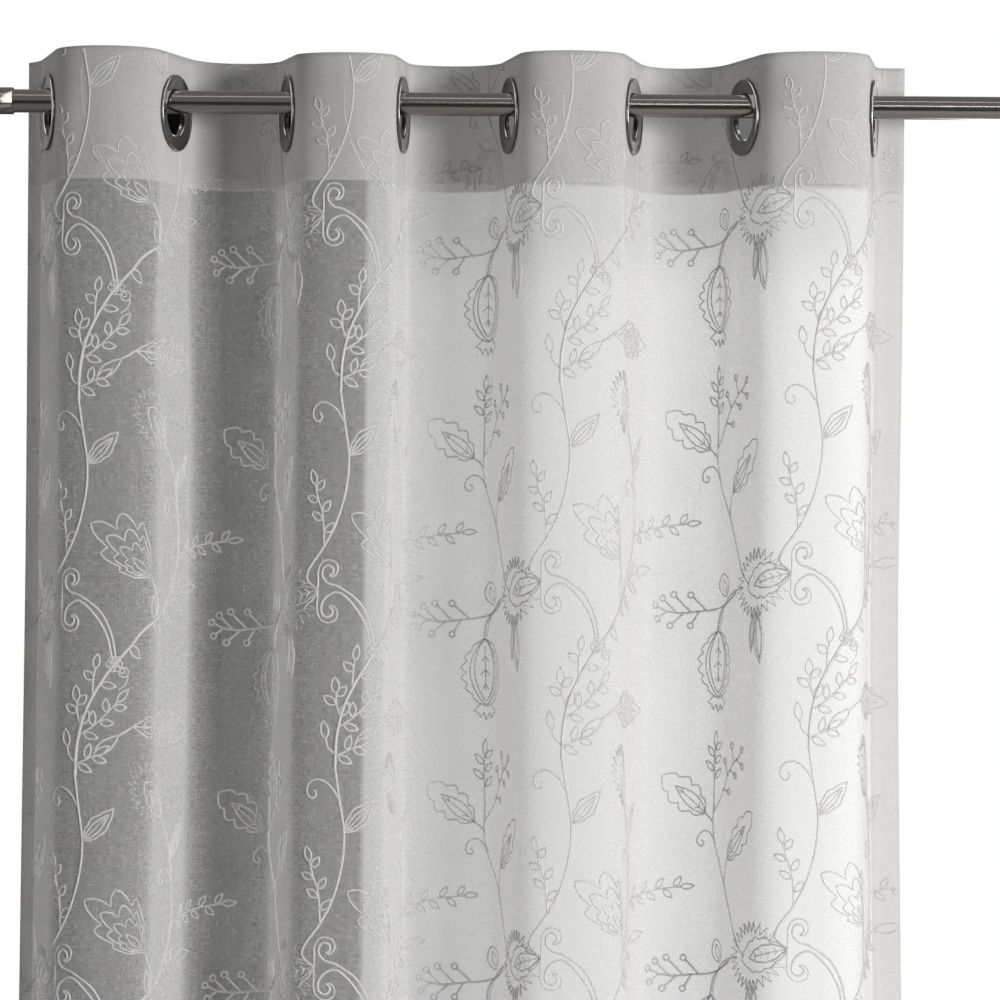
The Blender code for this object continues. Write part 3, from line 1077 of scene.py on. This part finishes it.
# %% One repeat of the vine
BERRY = 2.7
FLOWER_BASE = (-49.0, 55.0)
FERN_BASE = (17.0, -53.0)
FERN_TIP = (114.0, -60.0)


def draw_knot():
    """A dense little cluster where the stems meet, with one loop beside it."""
    for k in range(6):
        ring((4.0 * cos(k * 1.05), 4.0 * sin(k * 1.05)), 3.1, OUTLINE, 6)
    ring((0, 0), 1.8, STEM, 6)
    ring((8.0, -7.0), 4.4, OUTLINE, 8)
    ring((7.0, -6.0), 2.2, FINE_LINE, 6)
    stem((12, -10), (10, -17), (4, -22), weight=FINE_LINE)


def draw_crooks():
    """The two stems to the flower. Each rolls up at its end, with a line outside the roll."""
    stem((-39, 67), (-35.5, 69.5), (-36, 74), (-40.5, 76), (-44.5, 72.5), (-44.5, 66), (-39.5, 60.5),
         (-30, 57.5), (-13, 45), (-3, 26), (1.5, 3))
    stem((-39, 41), (-35.5, 38.5), (-36, 34.5), (-40.5, 32), (-45, 35.5), (-45, 43), (-40, 50),
         (-30, 53), (-17, 41.5), (-6.5, 24), (-1.5, 3))
    stem((-49, 55.5), (-48.5, 62), (-48.5, 72), (-45, 78.5), (-39.5, 80.5), (-33, 78), (-31.5, 71.5),
         (-35, 66.5), (-39, 67), weight=OUTLINE)
    stem((-49, 54), (-49, 47), (-49, 36), (-45.5, 29.5), (-39.5, 27.5), (-33, 30), (-31.5, 36.5),
         (-35, 41.5), (-39, 41), weight=OUTLINE)


def draw_main_stem():
    stem((0, 0), (-8, -11), (-17, -26), (-26, -46), (-31, -70), (-32, -95), weight=MAIN_STEM)
    stem((-32, -95), (-28, -122), (-24, -150), (-26, -178), (-34, -207), (-45, -228), (-57, -245),
         (-59, -254), (-52, -261))
    sprig([(-18, -26), (-17.5, -14), (-16, -4)], 0, 12, 6)
    leaf((-17.5, -13), (-26, -6), 7)
    leaf((-11, -17), (2, -19), 6)
    sprig([(-28, -52), (-31, -42), (-32, -32)], 3, 13, 7)
    sprig([(-29, -60), (-18, -53), (-6, -42), (3, -32)], 5, 13, 6)
    sprig([(-31, -84), (-38, -78), (-40, -70)], 0, 14, 7)
    sprig([(-31, -84), (-23, -81), (-16, -77)], 3, 14, 6)
    leaf((-16, -77), (5, -60), 10)
    stem((5, -60), (11, -57), FERN_BASE)


def draw_fern():
    outline(FERN_BASE, FERN_TIP, 34, 40, lambda share: serrated_edge(share, 5.0, 0.34))
    draw([point_at(FERN_BASE, FERN_TIP, share) for share in np.linspace(0, 0.90, 12)])
    for k in range(5):
        share = 0.10 + 0.15 * k
        for side in (-1, 1):
            foot = point_at(FERN_BASE, FERN_TIP, share)
            reach = side * 11.5 * full_edge(share)
            leaf(foot, point_at(FERN_BASE, FERN_TIP, share + 0.14, reach), 6, FINE_LINE, 5)


def draw_lower_stem():
    stem((-28, -122), (-34, -112), (-41, -106), (-48, -104.5), (-54, -108), (-56, -114), (-54, -119.5),
         (-50, -120.5), (-47.5, -117), (-49.5, -113.5), weight=OUTLINE)
    wavy_leaf((-23, -149), (2, -122), 16)
    sprig([(-44, -226), (-44.5, -212), (-46, -198), (-50, -186), (-53, -174)], 5, 12, 6, 0.2)


def draw_main_flower():
    rays(FLOWER_BASE, (-128, 35), 58, 23, 0.8, 0.70)
    outline(FLOWER_BASE, (-106, 40), 30, 34, lambda share: scalloped_edge(share, 5.0, 0.16))
    leaf(FLOWER_BASE, (-92, 43), 15)
    veins(FLOWER_BASE, (-88, 44), 16, 4)
    hanging_pod((-84, 20), (-79, -23), 20)
    hanging_pod((-93, 18), (-97, -14), 12)


def draw_left_stem():
    stem((-104, 43), (-118, 52), (-128, 67), (-138, 84), (-147, 100), (-158, 117), (-167, 134),
         (-170, 151), (-169.5, 170), (-169.5, 190))
    sprig([(-169.5, 190), (-170, 203), (-169, 218)], 5, 13, 5.5, 0.1)
    stem((-147, 100), (-146, 112), (-141, 123), weight=OUTLINE)
    scalloped_leaf((-141, 123), (-89, 167), 27)
    stem((-166, 134), (-171, 140), (-176, 144), (-182, 144), (-187, 140), (-188.5, 134.5), (-186, 131),
         (-182.5, 131), (-181.5, 134.5), (-184, 136), weight=OUTLINE)
    stem((-170, 151), (-175, 156), (-180.5, 159.5))
    scalloped_leaf((-180.5, 159.5), (-221, 191.5), 29)
    stem((-169.5, 161), (-156, 178), (-144, 195), (-132, 206), (-120, 212), weight=OUTLINE)
    berries(
        [(-154, 182), (-144, 195), (-139, 200), (-131, 207), (-126, 210), (-120, 212)],
        [(-141, 181), (-151, 207), (-127, 196), (-136, 221), (-112, 205), (-113, 219)],
        BERRY,
    )


def draw_berry_branch():
    stem((-118, 41), (-133, 37), (-147, 29), (-159, 24), (-173, 20), (-189, 18), (-207, 16),
         (-220, 17.5))
    berries(
        [(-184, 19), (-199, 17), (-211, 16), (-220, 17.5), (-220, 17.5), (-205, 16), (-191, 18)],
        [(-199, 32), (-214, 32), (-224, 29), (-231, 23), (-229, 11), (-217, 5), (-199, 5)],
        BERRY,
    )
    outline((-155, 32), (-163, 51), 18, 8, full_edge)
    outline((-156, 35), (-161, 47), 7, 6, plain_edge, FINE_LINE)
    for shift in (-1.6, 1.6):
        stem((-134, 36 + shift), (-151, 29 + shift), (-163 + shift, 18), (-168 + shift, 1))
    pod((-168, 1), (-167, -57), 48)


def draw_right_stems():
    stem((0, 0), (13, 14), (27, 29), (56, 45), weight=MAIN_STEM)
    stem((56, 45), (69, 52), (83, 57), (99, 60))
    leaf((99, 60), (125, 64), 9)
    for base, tip in (
        ((14, 16), (22, 4)),
        ((37, 35), (53, 24)),
        ((56, 44), (76, 29)),
        ((73, 53), (99, 43)),
        ((39, 38), (37, 58)),
        ((77, 57), (91, 70)),
    ):
        leaf(base, tip, 7)
    stem((59, 48), (69, 58), (80, 72), (88, 90), (88.5, 119), (83, 147), (76, 165), (60, 186))
    thistle((60, 186), (19, 229), 44)
    wavy_leaf((84, 148), (105, 178), 15)
    stem((87, 128), (82, 135), (75, 139.5), (66, 140.5), (60, 137), (58.5, 131.5), (61, 127),
         (65, 127), (66.5, 130.5), (64, 133), weight=OUTLINE)
    sprig([(88.5, 92), (99, 94), (118, 97), (137, 100.5), (159, 103)], 8, 12, 5)
    stem((43, 40), (45, 52), (34.5, 73))
    lily((34.5, 73), (-21, 119))


def draw_repeat():
    draw_knot()
    draw_crooks()
    draw_main_stem()
    draw_fern()
    draw_lower_stem()
    draw_main_flower()
    draw_left_stem()
    draw_berry_branch()
    draw_right_stems()


draw_repeat()
POINTS_IN_REPEAT = sum(len(stroke.points) for stroke in strokes)
print("one repeat:", len(strokes), "strokes,", POINTS_IN_REPEAT, "points")

# %% [markdown]
# The cord is laid by Geometry Nodes. Each stroke becomes a curve, a small four-sided
# profile is swept along it, and the length along each cord is kept as an attribute so that
# its finish can show the turns of the stitch. Set Material closes the tree.

# %% Cord tree
CORD_RADIUS = 0.00080
CORD_SIDES = 4


def group_input(tree, name, kind, value=None):
    socket = tree.interface.new_socket(name, in_out="INPUT", socket_type=kind)
    if value is not None:
        socket.default_value = value
    return socket.identifier


def cord_tree():
    """Sweeps a round cord along every line of a mesh. Returns the tree and its input names."""
    tree = bpy.data.node_groups.new("cord along lines", "GeometryNodeTree")
    group_input(tree, "Lines", "NodeSocketGeometry")
    names = {
        "radius": group_input(tree, "Cord radius", "NodeSocketFloat", CORD_RADIUS),
        "sides": group_input(tree, "Sides", "NodeSocketInt", CORD_SIDES),
        "thread": group_input(tree, "Thread", "NodeSocketMaterial"),
    }
    tree.interface.new_socket("Cords", in_out="OUTPUT", socket_type="NodeSocketGeometry")
    given = tree.nodes.new("NodeGroupInput").outputs
    curve = node(tree, "GeometryNodeMeshToCurve", {"Mesh": given["Lines"]})
    length = node(tree, "GeometryNodeSplineParameter").outputs["Length"]
    kept = node(
        tree,
        "GeometryNodeStoreNamedAttribute",
        {"Geometry": curve.outputs[0], "Name": "along", "Value": length},
        domain="POINT",
    )
    weight = node(tree, "GeometryNodeInputNamedAttribute", {"Name": "weight"})
    profile = node(
        tree,
        "GeometryNodeCurvePrimitiveCircle",
        {"Resolution": given["Sides"], "Radius": given["Cord radius"]},
    )
    swept = node(
        tree,
        "GeometryNodeCurveToMesh",
        {
            "Curve": kept.outputs[0],
            "Profile Curve": profile.outputs[0],
            "Scale": weight.outputs[0],
            "Fill Caps": True,
        },
    )
    smooth = node(tree, "GeometryNodeSetShadeSmooth", {"Geometry": swept.outputs[0]})
    real = node(tree, "GeometryNodeRealizeInstances", {"Geometry": smooth.outputs[0]})
    dressed = node(
        tree,
        "GeometryNodeSetMaterial",
        {"Geometry": real.outputs[0], "Material": given["Thread"]},
    )
    output = tree.nodes.new("NodeGroupOutput")
    tree.links.new(dressed.outputs[0], output.inputs[0])
    return tree, names


CORD_TREE, CORD_INPUTS = cord_tree()
print("cord tree ready")

# %% [markdown]
# The thread is bright rayon, whiter and glossier than the voile, with a soft sheen. Its
# turns show as a fine ripple along the cord, read from the stored length.

# %% Thread finish
THREAD_COLOUR = (0.96, 0.955, 0.945, 1.0)
THREAD_THROUGH_LIGHT = 0.50
THREAD_DARKEST = 0.90
THREAD_ROUGHNESS = 0.42
THREAD_SHINE = 0.45
THREAD_SHEEN = 0.25
FIBRE_SPOTS = 900.0
TURN_LENGTH = 0.0021
TURN_SHARE = 0.35
TURN_BUMP = 0.5
TURN_DEPTH = 0.0003


def thread_material():
    material, tree, output = new_tree("embroidery_thread")
    along = node(tree, "ShaderNodeAttribute", attribute_name="along").outputs["Fac"]
    wave = maths(tree, "SINE", maths(tree, "MULTIPLY", along, 2 * pi / TURN_LENGTH))
    place = node(tree, "ShaderNodeTexCoord").outputs["Object"]
    grain = node(tree, "ShaderNodeTexNoise", {"Vector": place, "Scale": FIBRE_SPOTS}).outputs[0]
    height = maths(tree, "MULTIPLY_ADD", wave, TURN_SHARE, grain)
    bump = node(
        tree, "ShaderNodeBump", {"Height": height, "Strength": TURN_BUMP, "Distance": TURN_DEPTH}
    )
    tone = node(tree, "ShaderNodeMix", {0: grain}, data_type="RGBA")
    tone.inputs[6].default_value = tuple(THREAD_DARKEST * c for c in THREAD_COLOUR[:3]) + (1.0,)
    tone.inputs[7].default_value = THREAD_COLOUR
    shader = node(
        tree,
        "ShaderNodeBsdfPrincipled",
        {"Base Color": tone.outputs[2], "Roughness": THREAD_ROUGHNESS, "Normal": bump.outputs[0]},
    )
    shader.inputs["Specular IOR Level"].default_value = THREAD_SHINE
    shader.inputs["Sheen Weight"].default_value = THREAD_SHEEN
    glow = node(tree, "ShaderNodeBsdfTranslucent", {"Color": THREAD_COLOUR})
    mix = node(
        tree,
        "ShaderNodeMixShader",
        {0: THREAD_THROUGH_LIGHT, 1: shader.outputs[0], 2: glow.outputs[0]},
    )
    tree.links.new(mix.outputs[0], output.inputs[0])
    return material


THREAD = thread_material()
print("thread finish ready")

# %% [markdown]
# Each column of the vine stands a little higher than the one to its left, as the voile was
# cut. The repeat is copied down every column, cut off at the edges of the cloth and under
# the eyelets, and hung with the cloth. Four columns give four pieces of embroidery.

# %% Embroidery
COLUMN_KNOTS = (0.163, 0.539, 0.888, 1.250)
FIRST_KNOT_HEIGHT = -0.163
COLUMN_RISE = 0.009
REPEAT_HEIGHT = 0.318
REPEATS = range(-1, 7)
EDGE_CLEARANCE = 0.0012
EYELET_CLEARANCE = 0.0300
HEADING_PROUD = 0.00030
MM = 0.001


def kept_runs(keep, closed):
    """The runs of points to keep, as lists of indices, and whether each is still closed."""
    if keep.all():
        return [(np.arange(len(keep)), closed)]
    order = np.arange(len(keep))
    if closed:
        order = np.roll(order, -int(np.argmin(keep)))
    runs, run = [], []
    for i in order:
        if keep[i]:
            run.append(i)
        else:
            runs.append(run)
            run = []
    runs.append(run)
    return [(np.array(run), False) for run in runs if len(run) > 1]


def on_cloth(places, heights):
    inside = np.minimum(places, PANEL_WIDTH - places) > EDGE_CLEARANCE
    inside &= (heights < TOP - EDGE_CLEARANCE) & (heights > FOOT + EDGE_CLEARANCE)
    return inside & (eyelet_distance(places, heights) > EYELET_CLEARANCE)


def lines_mesh(name, runs):
    """A mesh of loose edges from runs of (points, weight, closed)."""
    points, edges, weights = [], [], []
    for line, weight, closed in runs:
        start = len(points)
        points.extend(line)
        weights.extend([weight] * len(line))
        edges.extend((start + k, start + k + 1) for k in range(len(line) - 1))
        if closed:
            edges.append((start + len(line) - 1, start))
    mesh = bpy.data.meshes.new(name)
    mesh.from_pydata(points, edges, [])
    attribute = mesh.attributes.new("weight", "FLOAT", "POINT")
    attribute.data.foreach_set("value", weights)
    return mesh


def with_tree(obj, tree, values):
    """Runs a Geometry Nodes tree on an object and leaves the result as its plain mesh."""
    modifier = obj.modifiers.new("nodes", "NODES")
    modifier.node_group = tree
    for identifier, value in values.items():
        modifier[identifier] = value
    return made_plain(obj)


def column_runs(knot, lift):
    """All the strokes of one column, hung with the cloth."""
    runs = []
    for repeat in REPEATS:
        top_knot = FIRST_KNOT_HEIGHT + lift - repeat * REPEAT_HEIGHT
        for stroke in strokes:
            places = knot + stroke.points[:, 0] * MM
            heights = top_knot + stroke.points[:, 1] * MM
            for run, closed in kept_runs(on_cloth(places, heights), stroke.closed):
                proud = np.where(heights[run] > SEAM, HEADING_PROUD, 0.0)
                line = cloth_at(places[run], heights[run], proud)
                runs.append((line, stroke.weight, closed))
    return runs


embroidery = []
for column, knot in enumerate(COLUMN_KNOTS):
    runs = column_runs(knot, column * COLUMN_RISE)
    vine = add_piece(f"vine_{column + 1}", lines_mesh(f"vine_{column + 1}", runs))
    with_tree(vine, CORD_TREE, {CORD_INPUTS["thread"]: THREAD})
    embroidery.append(vine)
    print(vine.name, "has", sum(len(p.vertices) - 2 for p in vine.data.polygons), "triangles")

# %% [markdown]
# Behind the heading lies its second layer, the same cloth turned over and down, so the vine
# runs on there upside down. Through the face it shows as a pale ghost.

# %% Embroidery on the turned heading
TURNED_PROUD = -0.00075


def turned_runs():
    runs = []
    for column, knot in enumerate(COLUMN_KNOTS):
        for repeat in (-2, -1):
            top_knot = FIRST_KNOT_HEIGHT + column * COLUMN_RISE - repeat * REPEAT_HEIGHT
            for stroke in strokes:
                places = knot + stroke.points[:, 0] * MM
                heights = 2 * TOP - (top_knot + stroke.points[:, 1] * MM)
                keep = on_cloth(places, heights) & (heights > SEAM + EDGE_CLEARANCE)
                for run, closed in kept_runs(keep, stroke.closed):
                    proud = np.full(len(run), TURNED_PROUD)
                    line = cloth_at(places[run], heights[run], proud)
                    runs.append((line, stroke.weight, closed))
    return runs


turned_vine = add_piece("vine_turned", lines_mesh("vine_turned", turned_runs()))
with_tree(turned_vine, CORD_TREE, {CORD_INPUTS["thread"]: THREAD})
embroidery.append(turned_vine)
print("turned vine:", len(turned_vine.data.polygons), "faces")

# %% [markdown]
# Every hem is sewn by machine. A second tree walks along each seam, sets a small thread
# lens at every stitch, and turns it to follow the seam, with a little unevenness from a
# fixed seed.

# %% Stitch tree
STITCH_PITCH = 0.0032
STITCH_HALF_LENGTH = 0.00125
STITCH_RADIUS = 0.00026
STITCH_SEED = 7
STITCH_SWAY = 0.10


def stitch_tree():
    tree = bpy.data.node_groups.new("stitches along lines", "GeometryNodeTree")
    group_input(tree, "Seams", "NodeSocketGeometry")
    pitch = group_input(tree, "Stitch pitch", "NodeSocketFloat", STITCH_PITCH)
    group_input(tree, "Stitch size", "NodeSocketVector")
    group_input(tree, "Seed", "NodeSocketInt", STITCH_SEED)
    thread = group_input(tree, "Thread", "NodeSocketMaterial")
    names = {"pitch": pitch, "thread": thread}
    names["size"] = tree.interface.items_tree["Stitch size"].identifier
    tree.interface.new_socket("Stitches", in_out="OUTPUT", socket_type="NodeSocketGeometry")
    given = tree.nodes.new("NodeGroupInput").outputs
    curve = node(tree, "GeometryNodeMeshToCurve", {"Mesh": given["Seams"]})
    spaced_out = node(tree, "GeometryNodeResampleCurve", mode="LENGTH")
    tree.links.new(curve.outputs[0], spaced_out.inputs["Curve"])
    tree.links.new(given["Stitch pitch"], spaced_out.inputs["Length"])
    tangent = node(tree, "GeometryNodeInputTangent").outputs[0]
    sway = node(tree, "FunctionNodeRandomValue", data_type="FLOAT_VECTOR")
    sway.inputs[0].default_value = (-STITCH_SWAY,) * 3
    sway.inputs[1].default_value = (STITCH_SWAY,) * 3
    tree.links.new(given["Seed"], sway.inputs["Seed"])
    way = node(tree, "ShaderNodeVectorMath", {0: tangent, 1: sway.outputs[0]}, operation="ADD")
    turn = node(tree, "FunctionNodeAlignRotationToVector", {"Vector": way.outputs[0]}, axis="X")
    lens = node(tree, "GeometryNodeMeshUVSphere", {"Segments": 5, "Rings": 3, "Radius": 1.0})
    placed = node(
        tree,
        "GeometryNodeInstanceOnPoints",
        {
            "Points": spaced_out.outputs[0],
            "Instance": lens.outputs[0],
            "Rotation": turn.outputs[0],
            "Scale": given["Stitch size"],
        },
    )
    real = node(tree, "GeometryNodeRealizeInstances", {"Geometry": placed.outputs[0]})
    smooth = node(tree, "GeometryNodeSetShadeSmooth", {"Geometry": real.outputs[0]})
    dressed = node(
        tree,
        "GeometryNodeSetMaterial",
        {"Geometry": smooth.outputs[0], "Material": given["Thread"]},
    )
    output = tree.nodes.new("NodeGroupOutput")
    tree.links.new(dressed.outputs[0], output.inputs[0])
    return tree, names


STITCH_TREE, STITCH_INPUTS = stitch_tree()

# %% Rows of stitching
SEAM_INSET = 0.0022
SEAM_LINE_STEP = 0.004


def seam_lines():
    """The four seams: under the heading, down both side hems and over the bottom hem."""
    across = spaced(SEAM_INSET, PANEL_WIDTH - SEAM_INSET, SEAM_LINE_STEP)
    down = spaced(SEAM, FOOT + SEAM_INSET, SEAM_LINE_STEP)
    lines = []
    for height in (SEAM + SEAM_INSET, FOOT + BOTTOM_HEM - SEAM_INSET):
        lines.append((across, np.full_like(across, height)))
    for place in (SIDE_HEM - SEAM_INSET, PANEL_WIDTH - SIDE_HEM + SEAM_INSET):
        lines.append((np.full_like(down, place), down))
    proud = HEM_THICKNESS / 2
    return [(cloth_at(p, h, np.full_like(p, proud)), 1.0, False) for p, h in lines]


stitches = add_piece("hem_stitches", lines_mesh("hem_stitches", seam_lines()))
with_tree(
    stitches,
    STITCH_TREE,
    {
        STITCH_INPUTS["size"]: (STITCH_HALF_LENGTH, STITCH_RADIUS, STITCH_RADIUS),
        STITCH_INPUTS["thread"]: THREAD,
    },
)
print("stitches:", len(stitches.data.polygons), "faces")

# %% [markdown]
# The eyelets are pressed from thin metal and plated a dark polished gunmetal. Each face
# half is one profile turned round: a rolled outer rim that catches a thin bright line, a
# smooth flange that slopes in like a shallow bowl, and the barrel through the cloth. The
# back ring closes on it.

# %% Turned metal
RING_STEPS = 72
RING_CREASE = radians(50)


def turned(name, profile, steps, closed=True):
    """Turns a profile of (radius, height) points once round Z."""
    bm = bmesh.new()
    points = [bm.verts.new((radius, 0.0, height)) for radius, height in profile]
    pairs = list(zip(points, points[1:]))
    if closed:
        pairs.append((points[-1], points[0]))
    edges = [bm.edges.new(pair) for pair in pairs]
    bmesh.ops.spin(
        bm,
        geom=points + edges,
        cent=(0, 0, 0),
        axis=(0, 0, 1),
        angle=2 * pi,
        steps=steps,
        use_merge=True,
    )
    bmesh.ops.remove_doubles(bm, verts=bm.verts, dist=SMALL)
    bmesh.ops.recalc_face_normals(bm, faces=bm.faces)
    mesh = bpy.data.meshes.new(name)
    bm.to_mesh(mesh)
    bm.free()
    mesh.shade_smooth()
    mesh.set_sharp_from_angle(angle=RING_CREASE)
    return mesh


FACE_PROFILE_MM = (
    (20.0, -2.7), (20.0, -0.6), (20.05, 0.5), (20.3, 1.15), (20.8, 1.6), (21.6, 1.85), (23.0, 2.0),
    (25.5, 2.25), (28.0, 2.6), (30.0, 2.98), (31.0, 3.3), (31.8, 3.48), (32.5, 3.38), (32.9, 2.95),
    (33.0, 2.2), (32.9, 1.3), (32.5, 1.15), (21.2, 1.15), (21.2, -2.7),
)
BACK_PROFILE_MM = (
    (21.5, -1.15), (32.5, -1.15), (32.95, -1.4), (33.0, -2.1), (32.6, -2.8), (31.6, -3.3), (29.5, -3.45),
    (25.0, -3.45), (23.0, -3.3), (22.0, -2.9), (21.6, -2.2),
)


def eyelet_matrix(index):
    """Stands a piece turned round Z square to the cloth at an eyelet."""
    way = cloth_way(index)
    face = np.array((way[1], -way[0]))
    place = Matrix.Translation((EYELETS[index].x, 0, -EYELET_DROP))
    return place @ Matrix.Rotation(atan2(face[0], -face[1]), 4, "Z") @ Matrix.Rotation(pi / 2, 4, "X")


# %% [markdown]
# Plated metal is never quite even. Gunmetal gets a dark base, with a tone and roughness
# that drift in soft clouds. The rod is brushed along its length, so its grain is noise
# stretched along X, and it is lighter and warmer.

# %% Metal finishes
CLOUD_SPOTS = 60.0
GRAIN_DETAIL = 4.0


def metal_material(name, dark, light, roughness, spread, grain_scale, grain_share):
    """A plated metal whose tone and roughness drift between two values with its grain."""
    material, tree, output = new_tree(name)
    place = node(tree, "ShaderNodeTexCoord").outputs["Object"]
    stretched = node(tree, "ShaderNodeMapping", {"Vector": place, "Scale": grain_scale})
    grain = node(tree, "ShaderNodeTexNoise", {"Vector": stretched.outputs[0], "Scale": 1.0})
    grain.inputs["Detail"].default_value = GRAIN_DETAIL
    clouds = node(tree, "ShaderNodeTexNoise", {"Vector": place, "Scale": CLOUD_SPOTS})
    mix = maths(tree, "MULTIPLY", grain.outputs[0], grain_share)
    mix = maths(tree, "MULTIPLY_ADD", clouds.outputs[0], 1 - grain_share, mix)
    tone = node(tree, "ShaderNodeMix", {0: mix}, data_type="RGBA")
    tone.inputs[6].default_value = (*dark, 1.0)
    tone.inputs[7].default_value = (*light, 1.0)
    rough = maths(tree, "MULTIPLY_ADD", mix, spread, roughness)
    shader = node(
        tree, "ShaderNodeBsdfPrincipled", {"Base Color": tone.outputs[2], "Roughness": rough}
    )
    shader.inputs["Metallic"].default_value = 1.0
    tree.links.new(shader.outputs[0], output.inputs[0])
    return material


GUNMETAL = metal_material(
    "gunmetal",
    dark=(0.12, 0.117, 0.114),
    light=(0.18, 0.177, 0.172),
    roughness=0.13,
    spread=0.10,
    grain_scale=(160.0, 160.0, 160.0),
    grain_share=0.4,
)
NICKEL = metal_material(
    "brushed_nickel",
    dark=(0.18, 0.167, 0.156),
    light=(0.28, 0.262, 0.245),
    roughness=0.10,
    spread=0.10,
    grain_scale=(9.0, 1400.0, 1400.0),
    grain_share=0.8,
)
print("metal finishes ready")

# %% Eyelets
def scaled(profile):
    return [(radius * MM, height * MM) for radius, height in profile]


eyelet_pieces = {}
for index in range(len(EYELETS)):
    for half, profile in (("face", FACE_PROFILE_MM), ("back", BACK_PROFILE_MM)):
        mesh = turned(f"eyelet_{half}", scaled(profile), RING_STEPS)
        mesh.transform(eyelet_matrix(index))
        mesh.materials.append(GUNMETAL)
        piece = add_piece(f"ring_{index + 1}_{half}", mesh)
        eyelet_pieces[f"eyelet_{index + 1}_{half}"] = piece
print("eyelet halves:", len(eyelet_pieces))

# %% [markdown]
# Through an open eyelet the dark backdrop should show as it does through cloth. The card
# shows only to a look that has passed something clear, so each hole holds a clear disc.
# It belongs to the stage, as the card does.

# %% Clear discs in the holes
HOLE_STEPS = 32


def clear_material():
    material, tree, output = new_tree("stage_clear")
    tree.links.new(node(tree, "ShaderNodeBsdfTransparent").outputs[0], output.inputs[0])
    return material


CLEAR = clear_material()
for index in range(len(EYELETS)):
    bm = bmesh.new()
    bmesh.ops.create_circle(bm, cap_ends=True, radius=EYELET_INNER - MM, segments=HOLE_STEPS)
    bmesh.ops.transform(bm, matrix=eyelet_matrix(index), verts=bm.verts)
    mesh = bpy.data.meshes.new(f"stage_hole_{index + 1}")
    bm.to_mesh(mesh)
    bm.free()
    mesh.materials.append(CLEAR)
    disc = add_piece(mesh.name, mesh)
    disc.visible_shadow = False
print("clear discs:", len(EYELETS))

# %% [markdown]
# The rod is a plain drawn tube, and each end has a turned cap with a softly broken edge.
# They are turned like the eyelets, with enough steps to stay round in a close view.

# %% Rod and caps
ROD_STEPS = 96
ROD_HALF = 0.4957
ROD_BORE = 0.009
CAP_RADIUS = 0.0116
CAP_LENGTH = 0.040
CAP_END = 0.004
CAP_GAP = 0.0003
CAP_OUT = 0.500
EDGE_ROUND = 0.0009


def rod_mesh():
    profile = (
        (ROD_RADIUS, ROD_HALF),
        (ROD_RADIUS, -ROD_HALF),
        (ROD_BORE, -ROD_HALF),
        (ROD_BORE, ROD_HALF),
    )
    mesh = turned("rod_tube", profile, ROD_STEPS)
    mesh.transform(Matrix.Rotation(pi / 2, 4, "Y"))
    return mesh


def cap_mesh(side):
    """A cup over the rod's end, with its outer edges rounded."""
    corner = [
        (CAP_RADIUS - EDGE_ROUND + EDGE_ROUND * sin(angle), -EDGE_ROUND + EDGE_ROUND * cos(angle))
        for angle in np.linspace(0, pi / 2, 6)
    ]
    bore = ROD_RADIUS + CAP_GAP
    profile = [(0.0, 0.0), *corner]
    profile += [(CAP_RADIUS, -CAP_LENGTH + CAP_GAP), (CAP_RADIUS - CAP_GAP, -CAP_LENGTH)]
    profile += [(bore, -CAP_LENGTH), (bore, -CAP_END), (0.0, -CAP_END)]
    mesh = turned("rod_cap", profile, ROD_STEPS, closed=False)
    mesh.transform(Matrix.Translation((side * CAP_OUT, 0, 0)) @ Matrix.Rotation(side * pi / 2, 4, "Y"))
    return mesh


rod_pieces = {}
for name, node_name, mesh in (
    ("rod_tube", "rod", rod_mesh()),
    ("end_cap_left", "cap_left", cap_mesh(-1)),
    ("end_cap_right", "cap_right", cap_mesh(1)),
):
    mesh.materials.append(NICKEL)
    rod_pieces[node_name] = add_piece(name, mesh)
print("rod pieces:", len(rod_pieces))

# %% [markdown]
# Last, each piece is told what it rides on, and the imported solid that it stands for is
# hidden.

# %% Roles of the pieces
for piece in (voile_sheet, stitches, *embroidery):
    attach(piece, BODY)
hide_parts("voile_panel")
for node_name, piece in eyelet_pieces.items():
    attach(piece, BODY)
    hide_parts(node_name)
for node_name, piece in rod_pieces.items():
    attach(piece, BODY)
    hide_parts(node_name)
